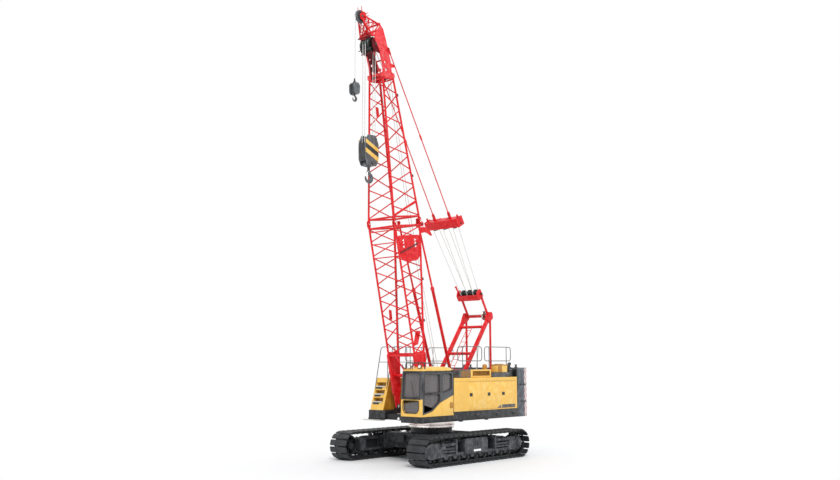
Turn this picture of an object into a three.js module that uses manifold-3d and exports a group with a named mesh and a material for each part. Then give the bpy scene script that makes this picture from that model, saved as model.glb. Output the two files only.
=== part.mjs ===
// A crawler crane with a lattice boom, in millimetres: +X forwards, +Y to the cab's side, +Z up.
// The slew axis is the line x = 0, y = 0 of the construction frame; the finished group is moved
// so that the centre of its box stands on the origin.
import * as THREE from 'three';
import { mergeVertices } from 'three/addons/utils/BufferGeometryUtils.js';
import Module from 'manifold-3d';

const wasm = await Module();
wasm.setup();

// ---------------------------------------------------------------- driving sizes
const TOUCH = 0.3; // between two pieces that rest on each other
const SEAM = 6; // around a door
const PIN_ROOM = 4; // between a pin and its bore, and between an eye and its ears

const TRACK_LENGTH = 6000;
const TRACK_HEIGHT = 1030;
const TRACK_GAUGE = 3770;
const SHOE_WIDTH = 840;
const SHOE_THICKNESS = 60;
const CHAIN_THICKNESS = 60;
const SHOE_COUNT = 50;
const SHOE_GAP = 24;
const TRACK_BOW = 1; // rise of the lower run's middle, between the end wheels
const FRAME_WIDTH = 480;
const ROLLER_RADIUS = 95;
const ROLLER_COUNT = 9;
const WHEEL_WIDTH = 300;

const CAR_TOP = 1080;
const CAR_BOTTOM = 430;
const CAR_RADIUS = 1080;
const TURRET_LOW = 960; // where the round turret rises from the car body
const CROSS_BEAM_X = 900;
const CROSS_BEAM_WIDTH = 420;
const RING_RADIUS = 850;
const RING_BORE = 620;
const RING_TOP = 1420;

const BODY_HALF = 1700; // half the width of the upperworks
const DECK_BOTTOM = 1435;
const DECK_TOP = 1640;
const SKIRT_TOP = 1765;
const HOOD_TOP = 2950;
const HOOD_FRONT = 730;
const HOOD_REAR = -3070;
const HOOD_INNER = 870;
const HOOD_WALL = 50;
const DOOR_BOTTOM = 1805;
const DOOR_TOP = 2795;
const LEFT_DOORS = [-100, -1160, -2050, -2940]; // seams from front to rear
const RIGHT_DOORS = [-420, -1680, -2940];
const ROOF_POST = 60;

const CAB_REAR = 750;
const CAB_FRONT = 2470;
const CAB_LEAN = 80; // how far the top of the windscreen stands back
const CAB_INNER = 740;
const CAB_TOP = 3200;
const CAB_WALL = 50;
const CAB_KNEE = 2080; // above here the front leans
const CAB_SILL = 2250; // between the two front windows
const CAB_LOW_GLASS = 1730;
const PANE = 8;
const ROOF_RISE = 160;

const STAIR_FRONT = 1600;
const STAIR_TOP_FRONT = 1250;
const STAIR_REAR = 0;
const STAIR_TOP = 2930;
const STAIR_OUTER = 1640;
const STAIR_INNER = 970;

const WEIGHT_FRONT = -3120;
const WEIGHT_CORNER = -3550;
const WEIGHT_REAR = -3960;
const WEIGHT_REAR_HALF = 1520;
const WEIGHT_SEAMS = [1430, 2010, 2650, 3300];

const FOOT = new THREE.Vector3(1144, 0, 1897); // boom foot pin
const BOOM_ANGLE = 82.3; // degrees above the horizontal
const JOINT = 6740; // from the foot to the joint between the sections
const BOOM_END = 12050; // to the end of the lattice
const BOOM_HALF = 642; // chord centre to the middle
const HEAD_HALF = 339;
const JOINT_HALF_DEPTH = 682;
const FOOT_HALF_DEPTH = 80;
const HEAD_HALF_DEPTH = 270;
const PLATE_END = 1900; // from the foot to the end of the side plates
const HEAD_END = 13940;
const PANEL_LOW = 5240; // the wide plate in the base's left side, from the foot
const PANEL_HIGH = 6250;
const CHORD_RADIUS = 37;
const LACE_RADIUS = 24;
const LACE_ROOM = 42; // from a joint's middle to the end of a lacing
const BAYS = 9;
const FOOT_PIN = 55;
const FOOT_PLATE = 56; // thickness of a foot

const MAIN_SHEAVE = { along: 13225, front: 480, radius: 270 };
const AUX_SHEAVE = { along: 14240, front: 815, radius: 240 };
const PENDANT_PIN = { along: 13086, back: 110 };
const TIP_REAR = { along: 13980, front: 190 }; // the tip's two rows of pins on the head
const TIP_FRONT = { along: 13540, front: 590 };
const TIP_INSET = 39; // from a head plate's middle in to the tip's root
const TIP_ROOT_HALF = HEAD_HALF - TIP_INSET;
const ROPE_RADIUS = 14;

const GANTRY_TOP = new THREE.Vector3(-2830, 0, 5380);
const GANTRY_FOOT = new THREE.Vector3(-290, 0, 1890);
const GANTRY_HALF = 600;
const STRUT_FOOT = new THREE.Vector3(-2870, 0, 1890);
const LEG = 150;

const BLOCK_AT = 930; // along the luffing tackle, from the gantry's top pin
const SPREADER_AT = 4080;
const SPREADER_HALF = 800;
const PENDANT_SIDE = 49; // from a head plate's middle out to a pendant
const PENDANT_HALF = HEAD_HALF + PENDANT_SIDE;
const PENDANT_RADIUS = 22;

const STOP_FOOT = new THREE.Vector3(-870, 0, 2200);
const STOP_EYE = new THREE.Vector3(1300, 0, 8705);
const STOP_HALF = 470;
const STOP_TUBE = 58;
const STOP_ROD = 38;
const STOP_TUBE_LENGTH = 4300;
const STOP_INSERT = 2000;

const MAIN_BLOCK_Z = 11020; // centre of the block's sheaves
const AUX_HOOK_Z = 13420; // top of the auxiliary hook's weight
const MAIN_HOOK_SIZE = 340;
const AUX_HOOK_SIZE = 190;

const WINCHES = { main: [-60, 1960, 175], aux: [-1560, 1990, 175], luffing: [-2250, 1990, 150] };
const DRUM_HALF = 330;
const DRUM_NECK = 60;

const RAIL_LOW = 3560;
const RAIL_TOP = 4090;
const RAIL_RADIUS = 14;
const RAIL_END = 280; // from a rail's end to its first post

// ---------------------------------------------------------------- shapes
function solid(geometry) {
  geometry.deleteAttribute('normal');
  geometry.deleteAttribute('uv');
  const merged = mergeVertices(geometry, 1e-3);
  const vertProperties = new Float32Array(merged.attributes.position.array);
  const triVerts = new Uint32Array(merged.index.array);
  return new wasm.Manifold(new wasm.Mesh({ numProp: 3, vertProperties, triVerts }));
}

function join(...pieces) {
  return pieces.flat().reduce((all, piece) => all.add(piece));
}

function cut(body, ...tools) {
  return tools.flat().reduce((left, tool) => left.subtract(tool), body);
}

// A box between two corners.
function box([x0, x1], [y0, y1], [z0, z1]) {
  const geometry = new THREE.BoxGeometry(x1 - x0, y1 - y0, z1 - z0);
  geometry.translate((x0 + x1) / 2, (y0 + y1) / 2, (z0 + z1) / 2);
  return solid(geometry);
}

// A round bar from p to q.
function rod(p, q, radius, sides = 10) {
  const start = new THREE.Vector3(...p);
  const run = new THREE.Vector3(...q).sub(start);
  const geometry = new THREE.CylinderGeometry(radius, radius, run.length(), sides);
  geometry.translate(0, run.length() / 2, 0);
  geometry.applyQuaternion(new THREE.Quaternion().setFromUnitVectors(
    new THREE.Vector3(0, 1, 0),
    run.normalize(),
  ));
  geometry.translate(...start.toArray());
  return solid(geometry);
}

// A square bar from p to q whose faces stay parallel to Y.
function bar(p, q, along, across) {
  const start = new THREE.Vector3(...p);
  const run = new THREE.Vector3(...q).sub(start);
  const geometry = new THREE.BoxGeometry(run.length(), across, along);
  geometry.translate(run.length() / 2, 0, 0);
  geometry.rotateY(-Math.atan2(run.z, run.x));
  geometry.translate(...start.toArray());
  return solid(geometry);
}

function outline(points) {
  return new THREE.Shape(points.map(([a, b]) => new THREE.Vector2(a, b)));
}

// A plate whose outline is in X and Z, from y0 to y1.
function sidePlate(points, y0, y1) {
  const geometry = new THREE.ExtrudeGeometry(outline(points), { depth: y1 - y0, bevelEnabled: false });
  geometry.rotateX(Math.PI / 2);
  geometry.translate(0, y1, 0);
  return solid(geometry);
}

// A plate whose outline is in X and Y, from z0 to z1.
function flatPlate(points, z0, z1) {
  const geometry = new THREE.ExtrudeGeometry(outline(points), { depth: z1 - z0, bevelEnabled: false });
  geometry.translate(0, 0, z0);
  return solid(geometry);
}

// A plate whose outline is in Y and Z, from x0 to x1.
function crossPlate(points, x0, x1) {
  const geometry = new THREE.ExtrudeGeometry(outline(points), { depth: x1 - x0, bevelEnabled: false });
  geometry.rotateX(Math.PI / 2);
  geometry.rotateZ(Math.PI / 2);
  geometry.translate(x0, 0, 0);
  return solid(geometry);
}

// A turned piece about the Y axis through (x, z). The profile lists [radius, y].
function turned(profile, [x, z], sides = 20) {
  const geometry = new THREE.LatheGeometry(
    profile.map(([radius, y]) => new THREE.Vector2(radius, y)),
    sides,
  );
  geometry.translate(x, 0, z);
  return solid(geometry);
}

function disc([x, z], y0, y1, radius, sides = 20) {
  return rod([x, y0, z], [x, y1, z], radius, sides);
}

// A sheave with a rope groove, centred on y.
function sheave([x, z], y, radius, width, sides = 12) {
  const half = width / 2;
  const groove = radius * 0.9;
  return turned([
    [0, y - half],
    [radius, y - half],
    [groove, y],
    [radius, y + half],
    [0, y + half],
  ], [x, z], sides);
}

const mirrored = (piece) => piece.mirror([0, 1, 0]);

// ---------------------------------------------------------------- finishes
function finish(color, metalness, roughness) {
  return { color, metalness, roughness };
}

const RED = finish(0xd3151b, 0.1, 0.4);
const YELLOW = finish(0xf2bd3f, 0.1, 0.4);
const SLATE = finish(0x4d545c, 0.15, 0.5);
const CHARCOAL = finish(0x1d1e20, 0.4, 0.6);
const STEEL = finish(0xb9a9a6, 0.9, 0.3);
const IRON = finish(0x55585c, 0.6, 0.5);
const GLASS = finish(0x4a4446, 0.0, 0.1);
const FABRIC = finish(0x2a2c30, 0.0, 0.9);
const WIRE = finish(0x9a9a98, 0.8, 0.4);

const crane = new THREE.Group();

function add(name, manifold, look, group = crane) {
  const { vertProperties, triVerts } = manifold.getMesh();
  const geometry = new THREE.BufferGeometry();
  geometry.setAttribute('position', new THREE.BufferAttribute(vertProperties, 3));
  geometry.setIndex(new THREE.BufferAttribute(triVerts, 1));
  geometry.computeVertexNormals();
  const mesh = new THREE.Mesh(geometry, new THREE.MeshStandardMaterial(look));
  mesh.name = name;
  group.add(mesh);
}

// ---------------------------------------------------------------- undercarriage
const TRACK_RADIUS = TRACK_HEIGHT / 2;
const WHEEL_X = TRACK_LENGTH / 2 - TRACK_RADIUS;
const BAND = SHOE_THICKNESS + CHAIN_THICKNESS;

// A point on the loop that runs at an offset inside the track's outer face.
function loopPoint(distance, offset) {
  const straight = 2 * WHEEL_X;
  const bend = Math.PI * TRACK_RADIUS;
  const radius = TRACK_RADIUS - offset;
  const s = ((distance % (2 * straight + 2 * bend)) + 2 * straight + 2 * bend) % (2 * straight + 2 * bend);
  if (s < straight) return [-WHEEL_X + s, TRACK_RADIUS - radius];
  if (s < straight + bend) {
    const turn = (s - straight) / TRACK_RADIUS - Math.PI / 2;
    return [WHEEL_X + radius * Math.cos(turn), TRACK_RADIUS + radius * Math.sin(turn)];
  }
  if (s < 2 * straight + bend) return [WHEEL_X - (s - straight - bend), TRACK_RADIUS + radius];
  const turn = (s - 2 * straight - bend) / TRACK_RADIUS + Math.PI / 2;
  return [-WHEEL_X + radius * Math.cos(turn), TRACK_RADIUS + radius * Math.sin(turn)];
}

// The lower run bears on its end shoes and rises a little between them.
function bowed([x, z]) {
  const lower = z < SHOE_THICKNESS && Math.abs(x) < WHEEL_X;
  return lower ? [x, z + TRACK_BOW * (1 - (x / WHEEL_X) ** 2)] : [x, z];
}

function track() {
  const around = 4 * WHEEL_X + 2 * Math.PI * TRACK_RADIUS;
  const pitch = around / SHOE_COUNT;
  const outer = [];
  const inner = [];
  for (let i = 0; i < SHOE_COUNT; i += 1) {
    const middle = WHEEL_X + i * pitch; // the first shoe stands under the slew axis
    const half = (pitch - SHOE_GAP) / 2;
    outer.push(loopPoint(middle - half, SHOE_THICKNESS * 0.7));
    outer.push(loopPoint(middle - half, 0));
    outer.push(loopPoint(middle + half, 0));
    outer.push(loopPoint(middle + half, SHOE_THICKNESS * 0.7));
    inner.push(loopPoint(middle, BAND), loopPoint(middle + pitch / 2, BAND));
  }
  const y0 = TRACK_GAUGE / 2 - SHOE_WIDTH / 2;
  const y1 = TRACK_GAUGE / 2 + SHOE_WIDTH / 2;
  return cut(sidePlate(outer.map(bowed), y0, y1), sidePlate(inner, y0 - 10, y1 + 10));
}

const WHEEL_RADIUS = TRACK_RADIUS - BAND - 6;

function trackFrame() {
  const middle = TRACK_GAUGE / 2;
  const y0 = middle - FRAME_WIDTH / 2;
  const y1 = middle + FRAME_WIDTH / 2;
  const end = WHEEL_X - WHEEL_RADIUS - 30;
  const low = BAND + 2 * ROLLER_RADIUS - 20;
  const high = TRACK_HEIGHT - BAND - 90;
  const beam = sidePlate([
    [-end, low], [end, low], [end, high - 40], [end - 260, high], [-end + 260, high], [-end, high - 40],
  ], y0, y1);
  const yokes = [];
  for (const side of [-1, 1]) {
    const reach = side * (WHEEL_X + 130);
    const root = side * (end - 40);
    const [x0, x1] = [Math.min(root, reach), Math.max(root, reach)];
    for (const [a, b] of [[y0, y0 + 60], [y1 - 60, y1]]) {
      yokes.push(box([x0, x1], [a, b], [TRACK_RADIUS - 120, TRACK_RADIUS + 120]));
    }
  }
  const rollers = [];
  for (let i = 0; i < ROLLER_COUNT; i += 1) {
    const x = (i / (ROLLER_COUNT - 1) - 0.5) * 2 * (end - ROLLER_RADIUS - 20);
    rollers.push(disc([x, BAND + 2 + ROLLER_RADIUS], middle - 210, middle + 210, ROLLER_RADIUS, 8));
  }
  for (const x of [-end * 0.45, end * 0.45]) {
    rollers.push(disc([x, TRACK_HEIGHT - BAND - 72], middle - 130, middle + 130, 70, 12));
  }
  const pockets = [];
  for (const x of [-640, 640]) {
    pockets.push(box([x - 260, x + 260], [y1 - 130, y1 + 10], [low + 130, high - 120]));
  }
  return cut(join(beam, yokes, rollers), pockets);
}

function trackWheel(x) {
  const middle = TRACK_GAUGE / 2;
  const half = WHEEL_WIDTH / 2;
  const rim = WHEEL_RADIUS;
  const wheel = turned([
    [0, middle - half - 30],
    [130, middle - half - 30],
    [150, middle - half],
    [rim - 90, middle - half],
    [rim - 90, middle - 70],
    [rim, middle - 70],
    [rim, middle + 70],
    [rim - 90, middle + 70],
    [rim - 90, middle + half],
    [150, middle + half],
    [130, middle + half + 30],
    [0, middle + half + 30],
  ], [x, TRACK_RADIUS], 16);
  return wheel;
}

function carBody() {
  const reach = TRACK_GAUGE / 2 - FRAME_WIDTH / 2 - TOUCH;
  const hub = rod([0, 0, CAR_BOTTOM + 60], [0, 0, TURRET_LOW], CAR_RADIUS, 8);
  const beams = [];
  for (const x of [-CROSS_BEAM_X, CROSS_BEAM_X]) {
    beams.push(crossPlate([
      [-reach, CAR_BOTTOM], [reach, CAR_BOTTOM], [reach, 800], [1150, 960], [-1150, 960], [-reach, 800],
    ], x - CROSS_BEAM_WIDTH / 2, x + CROSS_BEAM_WIDTH / 2));
  }
  const seat = rod([0, 0, TURRET_LOW - 20], [0, 0, CAR_TOP + 70], RING_RADIUS - 80, 24);
  return join(hub, beams, seat);
}

function slewRing() {
  const low = CAR_TOP + 70 + TOUCH;
  const geometry = new THREE.LatheGeometry([
    [RING_BORE, low],
    [RING_RADIUS - 20, low],
    [RING_RADIUS, low + 15],
    [RING_RADIUS, low + 90],
    [RING_RADIUS - 30, low + 100],
    [RING_RADIUS - 30, low + 125],
    [RING_RADIUS - 5, low + 135],
    [RING_RADIUS - 5, RING_TOP],
    [RING_BORE, RING_TOP],
    [RING_BORE, low],
  ].map(([radius, z]) => new THREE.Vector2(radius, z)), 24);
  geometry.rotateX(Math.PI / 2);
  return solid(geometry);
}

// ---------------------------------------------------------------- upperworks
// Two ears with a bore at (x, z), one each side of an eye of this thickness.
function ears([x, z], y, eye, height, spread, bore) {
  const plates = [];
  for (const side of [-1, 1]) {
    const near = y + side * (eye / 2 + PIN_ROOM + 4);
    const far = near + side * 25;
    plates.push(sidePlate([
      [x - spread, z - height],
      [x + spread, z - height],
      [x + bore + 45, z - 20],
      [x + bore + 20, z + bore + 30],
      [x - bore - 20, z + bore + 30],
      [x - bore - 45, z - 20],
    ], Math.min(near, far), Math.max(near, far)));
  }
  return cut(join(...plates), disc([x, z], y - 200, y + 200, bore, 12));
}

function deckFrame() {
  const floor = flatPlate([
    [WEIGHT_FRONT + 20, -BODY_HALF],
    [STAIR_FRONT, -BODY_HALF],
    [STAIR_FRONT, -HOOD_INNER],
    [1480, -HOOD_INNER],
    [1480, CAB_INNER - 10],
    [CAB_FRONT - 10, CAB_INNER - 10],
    [CAB_FRONT - 10, BODY_HALF],
    [WEIGHT_FRONT + 20, BODY_HALF],
  ], DECK_BOTTOM, DECK_TOP);
  const skirts = [
    box([WEIGHT_FRONT + 20, HOOD_FRONT], [HOOD_INNER, BODY_HALF], [DECK_TOP - 5, SKIRT_TOP]),
    box([WEIGHT_FRONT + 20, STAIR_FRONT], [-BODY_HALF, -HOOD_INNER], [DECK_TOP - 5, SKIRT_TOP]),
  ];
  const rise = FOOT.z - DECK_TOP + 10;
  const brackets = [-1, 1].map((side) => (
    ears([FOOT.x, FOOT.z], side * BOOM_HALF, FOOT_PLATE, rise, 260, FOOT_PIN + PIN_ROOM)
  ));
  const feet = [];
  for (const side of [-1, 1]) {
    for (const at of [GANTRY_FOOT, STRUT_FOOT]) {
      feet.push(box(
        [at.x - 170, at.x + 170],
        [side * GANTRY_HALF - 130, side * GANTRY_HALF + 130],
        [DECK_TOP - 5, at.z - LEG / 2 - TOUCH - 30],
      ));
    }
    feet.push(...stopSocket(side));
  }
  const stands = Object.values(WINCHES).flatMap(winchStand);
  const hub = rod([0, 0, RING_TOP + 7], [0, 0, DECK_BOTTOM + 5], RING_RADIUS - 10, 24);
  return join(floor, skirts, brackets, feet, stands, hub);
}

// Low ears on the deck that carry one backstop's lower pin.
function stopSocket(side) {
  const rise = STOP_FOOT.z - DECK_TOP + 10;
  return [ears([STOP_FOOT.x, STOP_FOOT.z], side * STOP_HALF, 70, rise, 150, 34)];
}

// Two plates that carry a drum's necks.
function winchStand([x, z]) {
  return [-1, 1].map((side) => {
    const near = side * (DRUM_HALF + SEAM);
    const far = side * (DRUM_HALF + 30);
    const plate = sidePlate([
      [x - 230, DECK_TOP - 5], [x + 230, DECK_TOP - 5], [x + 110, z + 90], [x - 110, z + 90],
    ], Math.min(near, far), Math.max(near, far));
    return cut(plate, disc([x, z], near - 40, near + 40, DRUM_NECK + PIN_ROOM, 12));
  });
}

function winchDrum([x, z, radius]) {
  return turned([
    [0, -DRUM_HALF - 40],
    [DRUM_NECK, -DRUM_HALF - 40],
    [DRUM_NECK, -DRUM_HALF],
    [radius + 70, -DRUM_HALF],
    [radius + 70, -DRUM_HALF + 25],
    [radius, -DRUM_HALF + 25],
    [radius, DRUM_HALF - 25],
    [radius + 70, DRUM_HALF - 25],
    [radius + 70, DRUM_HALF],
    [DRUM_NECK, DRUM_HALF],
    [DRUM_NECK, DRUM_HALF + 40],
    [0, DRUM_HALF + 40],
  ], [x, z], 12);
}

function cabProfile(inset) {
  return [
    [CAB_REAR + inset, DECK_TOP + 12 + inset],
    [CAB_FRONT - inset, DECK_TOP + 12 + inset],
    [CAB_FRONT - inset, CAB_KNEE],
    [CAB_FRONT - CAB_LEAN - inset, CAB_TOP - inset],
    [CAB_REAR + inset, CAB_TOP - inset],
  ];
}

const CAB_DOOR = [[2405, 1715], [1905, 1825], [1470, 2120], [1470, 3140], [2345, 3140]];
const DOOR_UPPER_WINDOW = [[2335, 2455], [1515, 2455], [1515, 3095], [2305, 3095]];
const DOOR_LOWER_WINDOW = [[2345, 1785], [1935, 1870], [1515, 2160], [1515, 2415], [2335, 2415]];
const DOOR_PANE = [[2360, 1765], [1925, 1850], [1495, 2140], [1495, 3115], [2325, 3115]];
const CAB_SIDE_WINDOW = [[1380, 2440], [860, 2570], [860, 3110], [1380, 3110]];

function grown(points, room) {
  const centre = points.reduce((sum, [x, z]) => [sum[0] + x, sum[1] + z], [0, 0])
    .map((value) => value / points.length);
  return points.map(([x, z]) => [
    x + Math.sign(x - centre[0]) * room,
    z + Math.sign(z - centre[1]) * room,
  ]);
}

function cabWalls() {
  const outer = sidePlate(cabProfile(0), CAB_INNER, BODY_HALF);
  const hollow = sidePlate(cabProfile(CAB_WALL), CAB_INNER + CAB_WALL, BODY_HALF - CAB_WALL);
  const windscreen = box([2300, 2600], [CAB_INNER + 60, BODY_HALF - 120], [CAB_SILL + 50, CAB_TOP - 50]);
  const lower = crossPlate([
    [CAB_INNER + 90, 2200], [CAB_INNER + 90, 1880], [CAB_INNER + 180, 1770],
    [BODY_HALF - 220, 1770], [BODY_HALF - 130, 1880], [BODY_HALF - 130, 2200],
  ], 2300, 2600);
  const door = sidePlate(grown(CAB_DOOR, SEAM), BODY_HALF - CAB_WALL - 10, BODY_HALF + 10);
  const side = sidePlate(CAB_SIDE_WINDOW, BODY_HALF - CAB_WALL - 10, BODY_HALF + 10);
  const inner = box([1000, 2250], [CAB_INNER - 10, CAB_INNER + CAB_WALL + 10], [2300, 3110]);
  return cut(outer, hollow, windscreen, lower, door, side, inner);
}

// The part of the cab's walls below the slanted edge that runs along the door's foot.
function cabLowerZone(gap) {
  const [front, middle, rear] = grown(CAB_DOOR, SEAM);
  return sidePlate([
    [CAB_REAR - 20, DECK_TOP],
    [CAB_FRONT + 20, DECK_TOP],
    [CAB_FRONT + 20, CAB_SILL + gap],
    [front[0] - gap, CAB_SILL + gap],
    [front[0] - gap, front[1] + gap],
    [middle[0], middle[1] + gap],
    [rear[0], rear[1] + gap],
    [CAB_REAR - 20, 2370 + gap],
  ], CAB_INNER - 20, BODY_HALF + 20);
}

function cabRoof() {
  const low = CAB_TOP + TOUCH;
  return sidePlate([
    [CAB_REAR, low],
    [CAB_FRONT - CAB_LEAN, low],
    [CAB_FRONT - CAB_LEAN - 130, low + ROOF_RISE * 0.7],
    [1700, low + ROOF_RISE],
    [CAB_REAR + 350, low + ROOF_RISE * 0.9],
    [CAB_REAR + 40, low + ROOF_RISE * 0.35],
  ], CAB_INNER, BODY_HALF);
}

function cabDoor() {
  const door = sidePlate(CAB_DOOR, BODY_HALF - CAB_WALL, BODY_HALF);
  const upper = sidePlate(DOOR_UPPER_WINDOW, BODY_HALF - CAB_WALL - 10, BODY_HALF + 10);
  const lower = sidePlate(DOOR_LOWER_WINDOW, BODY_HALF - CAB_WALL - 10, BODY_HALF + 10);
  return cut(door, upper, lower);
}

function doorGlass() {
  const face = BODY_HALF - CAB_WALL - TOUCH;
  return sidePlate(DOOR_PANE, face - PANE, face);
}

function windscreenGlass() {
  const lean = CAB_LEAN / (CAB_TOP - CAB_WALL - CAB_KNEE);
  const top = CAB_TOP - CAB_WALL - 12;
  const back = CAB_FRONT - CAB_WALL - 1;
  return sidePlate([
    [back, CAB_LOW_GLASS],
    [back, CAB_KNEE],
    [back - lean * (top - CAB_KNEE), top],
    [back - lean * (top - CAB_KNEE) - PANE, top],
    [back - PANE, CAB_KNEE],
    [back - PANE, CAB_LOW_GLASS],
  ].reverse(), CAB_INNER + CAB_WALL + 5, BODY_HALF - CAB_WALL - 10 - PANE);
}

function chair() {
  const base = box([1250, 1600], [1060, 1400], [DECK_TOP + 12 + CAB_WALL + TOUCH, 1980]);
  const cushion = box([1180, 1720], [1000, 1460], [1975, 2100]);
  const back = sidePlate([[1180, 2095], [1310, 2095], [1220, 2780], [1110, 2780]], 1010, 1450);
  return join(base, cushion, back);
}

function hood(inner, outer, front, seams) {
  const shell = cut(
    box([HOOD_REAR, front], [inner, outer], [SKIRT_TOP + TOUCH, HOOD_TOP]),
    box(
      [HOOD_REAR + HOOD_WALL, front - HOOD_WALL],
      [inner + HOOD_WALL, outer - HOOD_WALL],
      [SKIRT_TOP - 10, HOOD_TOP - HOOD_WALL],
    ),
    box(
      [seams[seams.length - 1] - SEAM, seams[0] + SEAM],
      [outer - HOOD_WALL - 10, outer + 10],
      [DOOR_BOTTOM - SEAM, DOOR_TOP + SEAM],
    ),
  );
  const posts = seams.slice(1, -1).map((x) => box(
    [x - ROOF_POST / 2, x + ROOF_POST / 2],
    [outer - HOOD_WALL - ROOF_POST - SEAM, outer - HOOD_WALL - SEAM],
    [SKIRT_TOP + TOUCH, HOOD_TOP - 10],
  ));
  return join(shell, posts);
}

function hoodDoor(front, rear, outer) {
  return box([rear + SEAM / 2, front - SEAM / 2], [outer - HOOD_WALL, outer], [DOOR_BOTTOM, DOOR_TOP]);
}

function stairBox() {
  const slope = (STAIR_FRONT - STAIR_TOP_FRONT) / (STAIR_TOP - SKIRT_TOP);
  const body = sidePlate([
    [STAIR_REAR, SKIRT_TOP + TOUCH],
    [STAIR_FRONT, SKIRT_TOP + TOUCH],
    [STAIR_TOP_FRONT, STAIR_TOP],
    [STAIR_REAR, STAIR_TOP],
  ], -STAIR_OUTER, -STAIR_INNER);
  const steps = [2040, 2320, 2600].map((z) => {
    const face = STAIR_FRONT - (z - SKIRT_TOP) * slope;
    return box([face - 240, face + 100], [-STAIR_OUTER + 60, -STAIR_INNER - 120], [z, z + 170]);
  });
  return cut(body, steps);
}

function weightSlab(low, high, front) {
  return flatPlate([
    [front, -BODY_HALF],
    [front, BODY_HALF],
    [WEIGHT_CORNER, BODY_HALF],
    [WEIGHT_REAR, WEIGHT_REAR_HALF],
    [WEIGHT_REAR - 90, 800],
    [WEIGHT_REAR - 90, -800],
    [WEIGHT_REAR, -WEIGHT_REAR_HALF],
    [WEIGHT_CORNER, -BODY_HALF],
  ].reverse(), low, high);
}

function gantry() {
  const parts = [];
  const at = (t, y) => {
    const middle = GANTRY_FOOT.clone().lerp(GANTRY_TOP, t);
    return [middle.x, y, middle.z];
  };
  const cross = (t, radius) => rod(at(t, -GANTRY_HALF), at(t, GANTRY_HALF), radius, 10);
  for (const side of [-1, 1]) {
    const y = side * GANTRY_HALF;
    parts.push(bar([GANTRY_FOOT.x, y, GANTRY_FOOT.z], [GANTRY_TOP.x, y, GANTRY_TOP.z], LEG, 110));
    parts.push(rod([STRUT_FOOT.x, y, STRUT_FOOT.z - 60], [GANTRY_TOP.x - 20, y, GANTRY_TOP.z - 60], 42, 10));
    parts.push(box(
      [STRUT_FOOT.x - 120, STRUT_FOOT.x + 120],
      [y - 60, y + 60],
      [STRUT_FOOT.z - LEG / 2 - 30, STRUT_FOOT.z + 60],
    ));
    parts.push(box(
      [GANTRY_FOOT.x - 130, GANTRY_FOOT.x + 130],
      [y - 60, y + 60],
      [GANTRY_FOOT.z - LEG / 2 - 30, GANTRY_FOOT.z + 60],
    ));
  }
  parts.push(cross(0.56, 55), cross(0.86, 55), cross(0.985, 60));
  return join(parts);
}

// ---------------------------------------------------------------- boom, in its own frame
// +X runs from the foot pin to the head and +Z is the boom's back.
function sectionAt(along) {
  if (along <= JOINT) {
    const t = along / JOINT;
    return { along, half: BOOM_HALF, depth: FOOT_HALF_DEPTH + (JOINT_HALF_DEPTH - FOOT_HALF_DEPTH) * t };
  }
  const t = (along - JOINT) / (BOOM_END - JOINT);
  return {
    along,
    half: BOOM_HALF + (HEAD_HALF - BOOM_HALF) * t,
    depth: JOINT_HALF_DEPTH + (HEAD_HALF_DEPTH - JOINT_HALF_DEPTH) * t,
  };
}

// A point on a chord: side is -1 or 1 in Y, back is -1 or 1 in Z.
function chordPoint(along, side, back) {
  const { half, depth } = sectionAt(along);
  return [along, side * half, back * depth];
}

const FACES = [
  [[1, -1], [-1, -1], 0],
  [[1, 1], [-1, 1], 1],
  [[1, -1], [1, 1], 1],
  [[-1, -1], [-1, 1], 0],
];

function lattice(from, to, chordFrom) {
  const parts = [];
  for (const side of [-1, 1]) {
    for (const back of [-1, 1]) {
      parts.push(rod(chordPoint(chordFrom, side, back), chordPoint(to, side, back), CHORD_RADIUS, 6));
    }
  }
  for (const [a, b, phase] of FACES) {
    for (let i = 0; i < BAYS; i += 1) {
      const start = from + ((to - from) * i) / BAYS;
      const end = from + ((to - from) * (i + 1)) / BAYS;
      const [p, q] = (i + phase) % 2 ? [a, b] : [b, a];
      parts.push(rod(
        chordPoint(start + LACE_ROOM, ...p),
        chordPoint(end - LACE_ROOM, ...q),
        LACE_RADIUS,
        4,
      ));
    }
  }
  return parts;
}

// Four round bars around the section at one place.
function frameAt(along, radius) {
  return FACES.map(([a, b]) => rod(chordPoint(along, ...a), chordPoint(along, ...b), radius, 6));
}

function boomBase() {
  const parts = lattice(PLATE_END, JOINT - 160, PLATE_END - 60);
  parts.push(...frameAt(JOINT - 165, 40), ...frameAt(PLATE_END, 36));
  for (const side of [-1, 1]) {
    const y = side * BOOM_HALF;
    const { depth } = sectionAt(PLATE_END);
    parts.push(sidePlate([
      [-90, -70], [-60, -110], [60, -120], [PLATE_END, -depth - 30],
      [PLATE_END, depth + 30], [60, 120], [-60, 110], [-90, 70],
    ], y - FOOT_PLATE / 2, y + FOOT_PLATE / 2));
    parts.push(rod([0, y - 80, 0], [0, y + 80, 0], FOOT_PIN, 20));
    parts.push(rod([1150, 0, 0], [PLATE_END, y, 0], 28, 6));
    for (const back of [-1, 1]) {
      const [x, cy, z] = chordPoint(JOINT - 130, side, back);
      parts.push(box([x - 120, x + 100], [cy - 50, cy + 50], [z - 65, z + 65]));
    }
  }
  const near = sectionAt(PANEL_LOW).depth;
  const far = sectionAt(PANEL_HIGH).depth;
  parts.push(sidePlate([
    [PANEL_LOW, -near + 240], [PANEL_LOW + 90, -near + 60], [PANEL_HIGH, -far],
    [PANEL_HIGH, far], [PANEL_LOW + 90, near - 60], [PANEL_LOW, near - 240],
  ], BOOM_HALF - 12, BOOM_HALF + 12));
  parts.push(rod([1150, -BOOM_HALF, 0], [1150, BOOM_HALF, 0], 60, 10));
  return join(parts);
}

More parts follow.
